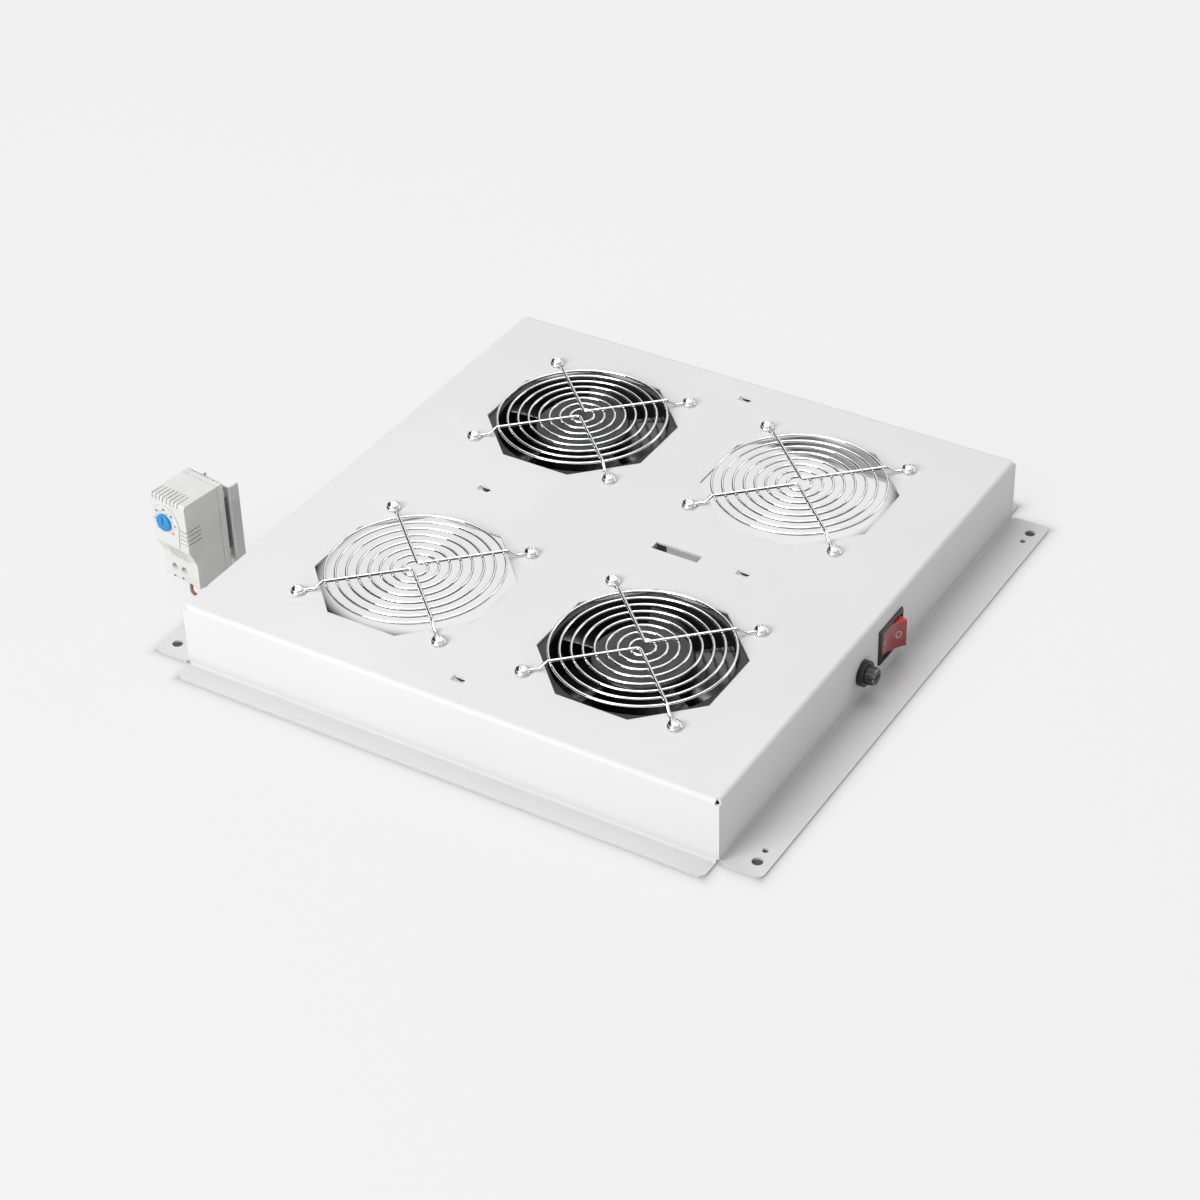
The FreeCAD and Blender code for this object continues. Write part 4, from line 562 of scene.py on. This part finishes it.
def dial_scale(black, blue, red):
    """Numbers 0 to 60 round the dial, from blue through black to red, with ticks between them."""
    out = -STAT_FRONT + STAT_PANEL
    sink = 0.03 * MM
    groups = {"cool": ([], []), "plain": ([], []), "warm": ([], [])}

    def add(key, points, faces):
        held, kept = groups[key]
        start = sum(len(p) for p in held)
        held.append(points)
        kept.extend(tuple(v + start for v in face) for face in faces)

    last = 6
    for step in range(last + 1):
        turn = math.radians(SCALE_START - SCALE_STEP * step)
        key = "cool" if step < 2 else "warm" if step > 4 else "plain"
        points, faces = digits(str(step * 10), NUMBER_HEIGHT, 0.12 * MM)
        across = DIAL_AT[0] - NUMBER_RING * math.cos(turn) - points[:, 0]
        up = DIAL_AT[1] + NUMBER_RING * math.sin(turn) + points[:, 1]
        add(key, np.column_stack([across, up, points[:, 2] + sink]), faces)
        if step < last:
            middle = turn - math.radians(SCALE_STEP / 2)
            way = np.array([-math.cos(middle), math.sin(middle)])
            side = np.array([way[1], -way[0]]) * TICK_HALF
            near, far = (way * ring for ring in TICK_RINGS)
            outline = np.array([near - side, near + side, far + side, far - side]) + DIAL_AT
            points, faces = flat_shape([outline], 0.09 * MM)
            add(key, points, faces)
    for (key, (points, faces)), finish in zip(groups.items(), (blue, black, red)):
        place = on_thermostat(np.concatenate(points), out)
        new_piece(f"dial_scale_{key}", place, faces, finish, "tray", smooth=False)


def terminal_arrows(black):
    """Two small arrows under the terminal holes."""
    arrow = np.array([(-1.1, 0), (1.1, 0.95), (1.1, -0.95)])
    shapes = [(arrow + middle) * MM for middle in ((7.1, 1.6), (-0.5, 2.3))]
    points, faces = flat_shape(shapes, 0.08 * MM)
    place = on_thermostat(points, -STAT_FRONT - STAT_LOWER)
    new_piece("terminal_arrows", place, faces, black, "tray", smooth=False)


def rocker_marks(white):
    """A ring and a bar printed on the rocker's dished face. Both follow that face, which is an arc
    of a circle through its middle and its two ends."""
    pivot = Vector(next(j for j in frame["joints"] if j["name"] == "switch_rock")["pos_m"])
    rise = ROCKER_ENDS - ROCKER_MIDDLE
    radius = (ROCKER_HALF ** 2 + rise ** 2) / (2 * rise)
    c, s = math.cos(-ROCKER_TILT), math.sin(-ROCKER_TILT)

    def on_face(across, up, off):
        height = ROCKER_MIDDLE + radius - np.sqrt(radius ** 2 - across ** 2) + off
        x, y = across, -height
        return np.stack([pivot.x + c * x - s * y, pivot.y + s * x + c * y, pivot.z + up], -1)

    columns, sections = 64, 8
    a, b = np.meshgrid(np.arange(sections + 1) * 2 * math.pi / sections,
                       np.arange(columns) * 2 * math.pi / columns, indexing="ij")
    ring_at, ring_r, ring_squeeze = 6.1 * MM, 2.3 * MM, 0.8
    spread = 1 + MARK_LINE / ring_r * np.cos(a)
    ring = on_face(ring_at + ring_r * ring_squeeze * spread * np.cos(b),
                   ring_r * spread * np.sin(b), MARK_RISE * np.sin(a))
    ring_quads = ring_faces(sections + 1, columns)

    bar_at, bar_half, rows, around = -6.0 * MM, 2.2 * MM, 24, 12
    u, v = np.meshgrid(np.linspace(0, 2 * math.pi, around, endpoint=False),
                       np.linspace(-1, 1, rows), indexing="ij")
    taper = np.sqrt(np.clip(1 - v ** 8, 0, 1))
    bar = on_face(bar_at + MARK_LINE * np.cos(u) * taper, bar_half * v,
                  MARK_RISE * np.sin(u) * taper)
    bar = np.swapaxes(bar, 0, 1)
    bar_quads = ring_faces(rows, around, ring.shape[0] * columns)
    points = np.concatenate([ring.reshape(-1, 3), bar.reshape(-1, 3)])
    new_piece("rocker_marks", points, np.concatenate([ring_quads, bar_quads]), white,
              "rocker")


# ---------------------------------------------------------------- cords
LEAD_ROUTE = [
    (0.5, 2.0, 19.0), (0.0, 18.0, 24.5), (-2.0, 38.0, 31.0), (-1.2, 60.0, 36.5),
    (0.0, 84.0, 39.3), (0.0, 108.0, 39.3), (11.0, 132.0, 33.3), (33.0, 148.0, 26.3),
    (70.0, 153.0, 20.0), (108.0, 152.0, 16.0), (134.0, 158.0, 14.5), (146.5, 168.0, 13.0),
    (150.0, 180.0, 12.0), (150.0, 196.7, 12.0), (146.6, 203.9, 9.8), (139.5, 208.1, 7.4),
    (130.5, 208.9, 5.4), (117.0, 206.0, 4.55), (90.0, 203.0, 4.15), (55.0, 205.0, 4.35),
    (15.0, 209.0, 4.15), (-25.0, 209.0, 4.25), (-62.0, 211.0, 4.15), (-90.0, 213.5, 4.25),
    (-107.0, 216.9, 4.4), (-118.0, 220.5, 3.65), (-127.0, 224.1, 2.9),
]


def cord_curve(name, route, diameter, finish, nodes):
    """A round cord on a smooth curve steered by the route's points, in millimetres."""
    curve = bpy.data.curves.new(name, "CURVE")
    curve.dimensions = "3D"
    curve.bevel_depth, curve.bevel_resolution = diameter / 2, 6
    curve.use_fill_caps = True
    curve.resolution_u = 12
    line = curve.splines.new("NURBS")
    line.points.add(len(route) - 1)
    for point, place in zip(line.points, route):
        point.co = (place[0] * MM, place[1] * MM, place[2] * MM, 1)
    line.order_u = 3
    line.use_endpoint_u = True
    curve.materials.append(finish)
    piece = bpy.data.objects.new(name, curve)
    bpy.context.scene.collection.objects.link(piece)
    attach(piece, "tray")
    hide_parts(*nodes)
    return piece


def leads():
    lead = cord_curve("thermostat_lead_sheath", LEAD_ROUTE, LEAD_D,
                      sheath("black_sheath", (0.014, 0.014, 0.014), (0.028, 0.028, 0.027), 0.42),
                      ["thermostat_lead"])


# ---------------------------------------------------------------- floor and light
def floor_shade(x, y):
    """1 on the floor in deep shade: under the tray and under the flange holes. What is seen of
    the floor through the spare bays is clear, and through the terminal slot it is partly clear.
    Beside the flanges the shade starts at 0.6 and falls to a third of that in 5 mm."""
    across, along = x.math("ABSOLUTE"), y.math("ABSOLUTE")

    def disc(u, v, radius, soft):
        return 1 - (u * u + v * v).math("SQRT").above(radius, soft)

    def beyond(half_x, half_y):
        u = (across - half_x).math("MAXIMUM", 0.0)
        v = (along - half_y).math("MAXIMUM", 0.0)
        return (u * u + v * v).math("SQRT")

    under = (1 - across.above(0.197, 0.002)) * (1 - along.above(0.189, 0.002))
    for bx, by in SPARE_BAYS:
        at = (bx * BAY_PITCH[0] / 2 + SEEN_SHIFT[0], by * BAY_PITCH[1] / 2 + SEEN_SHIFT[1])
        under = under * (1 - disc(x - at[0], y - at[1], 0.067, 0.006))
    slot = disc(x - SEEN_SHIFT[0], y - SLOT_Y - SEEN_SHIFT[1], 0.020, 0.004)
    under = under * (1 - slot * 0.4)
    bolts = disc(across - BOLTS[0], along - BOLTS[1], 0.0065, 0.001)
    pilots = disc(across - PILOTS[0], along - PILOTS[1], 0.0045, 0.001)
    edge = beyond(*SIDE_FLANGES).math("MINIMUM", beyond(*END_FLANGES))
    outside = across.above(0.195, 0.002).math("MAXIMUM", along.above(0.187, 0.002))
    contact = (edge * -220).math("EXPONENT") * outside * 0.60
    return under.math("MAXIMUM", bolts).math("MAXIMUM", pilots).math("MAXIMUM", contact)


def lay_floor():
    """Plain pale paper with painted shade from floor_shade: a darker colour and less glow under the
    tray, under the flange holes and beside the flanges. Elsewhere the camera, and near the tray its
    mirror images, see it lit evenly.
    """
    mesh = bpy.data.meshes.new("floor")
    mesh.from_pydata([(-30, -30, 0), (30, -30, 0), (30, 30, 0), (-30, 30, 0)], [], [(0, 1, 2, 3)])
    floor = bpy.data.objects.new("floor", mesh)
    bpy.context.scene.collection.objects.link(floor)
    f = Finish("floor_paper", Specular_IOR_Level=0.0)
    f.set("Roughness", 1.0)
    x, y, z = f.axes(f.place())
    shade = floor_shade(x, y)
    # painted shade darkens the floor's colour where floor_shade is 1
    f.set("Base Color", f.mix(shade, (0.80, 0.80, 0.80), (0.10, 0.10, 0.10)))
    painted_glow = f.node("ShaderNodeEmission", {}, {"Color": PAPER, "Strength": 1.0})
    path = f.node("ShaderNodeLightPath")
    near = 1 - (x * x + y * y).math("SQRT").above(0.55, 0.25)
    seen = path.out("Is Camera Ray").math("MAXIMUM", path.out("Is Glossy Ray") * near)
    seen = seen.math("MAXIMUM", path.out("Is Transmission Ray")) * (1 - shade)
    lit = Value(f, f.shader.outputs[0])
    both = f.node("ShaderNodeMixShader", {}, {0: seen * 0.88, 1: lit, 2: painted_glow})
    f.tree.links.new(both.socket, f.output.inputs["Surface"])
    mesh.materials.append(f.material)


def soft_box(name, place, aim, size, power):
    data = bpy.data.lights.new(name, "AREA")
    data.shape, data.size, data.size_y, data.energy = "RECTANGLE", *size, power
    lamp = bpy.data.objects.new(name, data)
    lamp.location = place
    way = Vector(aim) - Vector(place)
    lamp.rotation_euler = way.to_track_quat("-Z", "Y").to_euler()
    bpy.context.scene.collection.objects.link(lamp)


def hang_sky():
    """A soft, even sky. Bright metal sees it dark behind the tray, ahead of it and along the
    horizon, and the camera sees it in the floor's tone."""
    world = bpy.data.worlds.new("sky")
    bpy.context.scene.world = world
    world.use_nodes = True
    sky = Shading(world.node_tree)
    x, y, z = sky.axes(sky.node("ShaderNodeTexCoord").out("Generated"))
    behind = (x * -0.24 + y * 0.97).above(0.52, 0.07)
    ahead = (y * -1.0).above(0.47, 0.07) * (1 - z.above(0.66, 0.06))
    low = 1 - z.above(0.20, 0.10)
    gap = behind.math("MAXIMUM", ahead).math("MAXIMUM", low)
    path = sky.node("ShaderNodeLightPath")
    tone = sky.mix(gap, (1.0, 1.0, 1.0), (0.02, 0.02, 0.02))
    shine = sky.node("ShaderNodeBackground", {}, {"Color": tone, "Strength": 0.95})
    fill = sky.node("ShaderNodeBackground", {}, {"Color": (1, 1, 1), "Strength": 0.36})
    seen = sky.node("ShaderNodeBackground", {}, {"Color": PAPER, "Strength": 1.0})
    part = sky.node("ShaderNodeMixShader", {}, {0: path.out("Is Glossy Ray"), 1: fill, 2: shine})
    whole = sky.node("ShaderNodeMixShader", {}, {0: path.out("Is Camera Ray"), 1: part, 2: seen})
    output = sky.tree.nodes.new("ShaderNodeOutputWorld")
    sky.tree.links.new(whole.socket, output.inputs["Surface"])


def studio():
    lay_floor()
    soft_box("key_box", (-2.4, 0.7, 1.7), (0, 0, 0.02), (1.6, 1.6), 66)
    soft_box("top_box", (0.6, 0.6, 2.8), (0, 0, 0.02), (2.2, 2.2), 30)
    soft_box("side_box", (1.9, -1.6, 0.9), (0.1, -0.2, 0.02), (1.0, 1.0), 6)
    hang_sky()
    bpy.context.scene.view_settings.view_transform = "Standard"


# ---------------------------------------------------------------- finishes on the model's pieces
def dress(finish, *nodes):
    for node in nodes:
        data = frame["nodes"][node].data
        data.materials.clear()
        data.materials.append(finish)


def dress_all():
    black = moulded("black_plastic", (0.010, 0.010, 0.011), (0.020, 0.020, 0.021), 0.22)
    matt_black = moulded("matt_black_plastic", (0.012, 0.012, 0.012), (0.022, 0.022, 0.022), 0.5)
    pale = moulded("pale_grey_plastic", (0.66, 0.66, 0.65), (0.72, 0.72, 0.71), 0.38)
    white = moulded("white_plastic", (0.76, 0.76, 0.75), (0.84, 0.84, 0.83), 0.4)
    blue = moulded("blue_plastic", (0.006, 0.20, 0.52), (0.010, 0.27, 0.62), 0.22)
    zinc = zinc_plate()
    brass = metal("tinned_brass", (0.52, 0.42, 0.22), (0.72, 0.62, 0.36), 0.25)
    steel = metal("ground_steel", (0.5, 0.5, 0.5), (0.66, 0.66, 0.66), 0.18)
    dress(powder_coat(), "tray_shell")
    chrome = bright_chrome()
    for bay in ("front_left", "front_right", "rear_left", "rear_right"):
        dress(chrome, f"finger_guard_{bay}")
    enamel, core = cast_black(), laminations()
    for side, (bx, by) in zip(("left", "right"), FAN_BAYS):
        dress(enamel, f"{side}_fan_frame")
        dress(rotor_black((bx * BAY_PITCH[0] / 2, by * BAY_PITCH[1] / 2)), f"{side}_fan_rotor")
        dress(core, f"{side}_fan_stator", f"{side}_fan_cage")
        dress(steel, f"{side}_fan_shaft", f"{side}_fan_bearings")
        dress(brass, f"{side}_fan_terminals")
    dress(zinc, "fan_nuts", "spare_bay_nuts", "terminal_block_screw", "earth_screw",
          "thermostat_terminals", "fuse_end_caps")
    dress(brass, "switch_terminals", "fuse_terminals", "terminal_contacts")
    dress(black, "switch_body", "fuse_holder_body")
    dress(matt_black, "fuse_holder_nut", "cable_tie")
    dress(sheath("black_rubber", (0.014, 0.014, 0.014), (0.026, 0.026, 0.025), 0.55),
          "lead_bush", "mains_bush")
    dress(knurled_cap(), "fuse_cap")
    dress(red_lens(), "switch_rocker")
    glass = clear_glass()
    dress(glass, "fuse_tube", "switch_lamp")
    dress(white, "terminal_block")
    dress(pale, "thermostat_front", "thermostat_rear")
    dress(metal("bracket_steel", (0.62, 0.62, 0.62), (0.72, 0.72, 0.72), 0.4), "thermostat_bracket")
    dress(blue, "thermostat_dial")
    dress(metal("bimetal", (0.45, 0.40, 0.30), (0.6, 0.55, 0.45), 0.3), "thermostat_bimetal")
    dress(sheath("brown_insulation", (0.22, 0.085, 0.035), (0.33, 0.14, 0.065), 0.3),
          "brown_core", "brown_core_inside")
    dress(sheath("blue_insulation", (0.01, 0.22, 0.55), (0.02, 0.32, 0.68), 0.3),
          "blue_core", "blue_core_inside")
    bay_screws("fan_screws_turned", "fan_screws", FAN_BAYS, zinc)
    bay_screws("spare_bay_screws_turned", "spare_bay_screws", SPARE_BAYS, zinc)
    black_ink = ink("black_ink", (0.03, 0.03, 0.035))
    dial_scale(black_ink, ink("blue_ink", (0.03, 0.16, 0.5)), ink("red_ink", (0.55, 0.06, 0.03)))
    terminal_arrows(black_ink)
    rocker_marks(ink("white_ink", (0.85, 0.62, 0.62)))


place_camera()
leads()
dress_all()
studio()
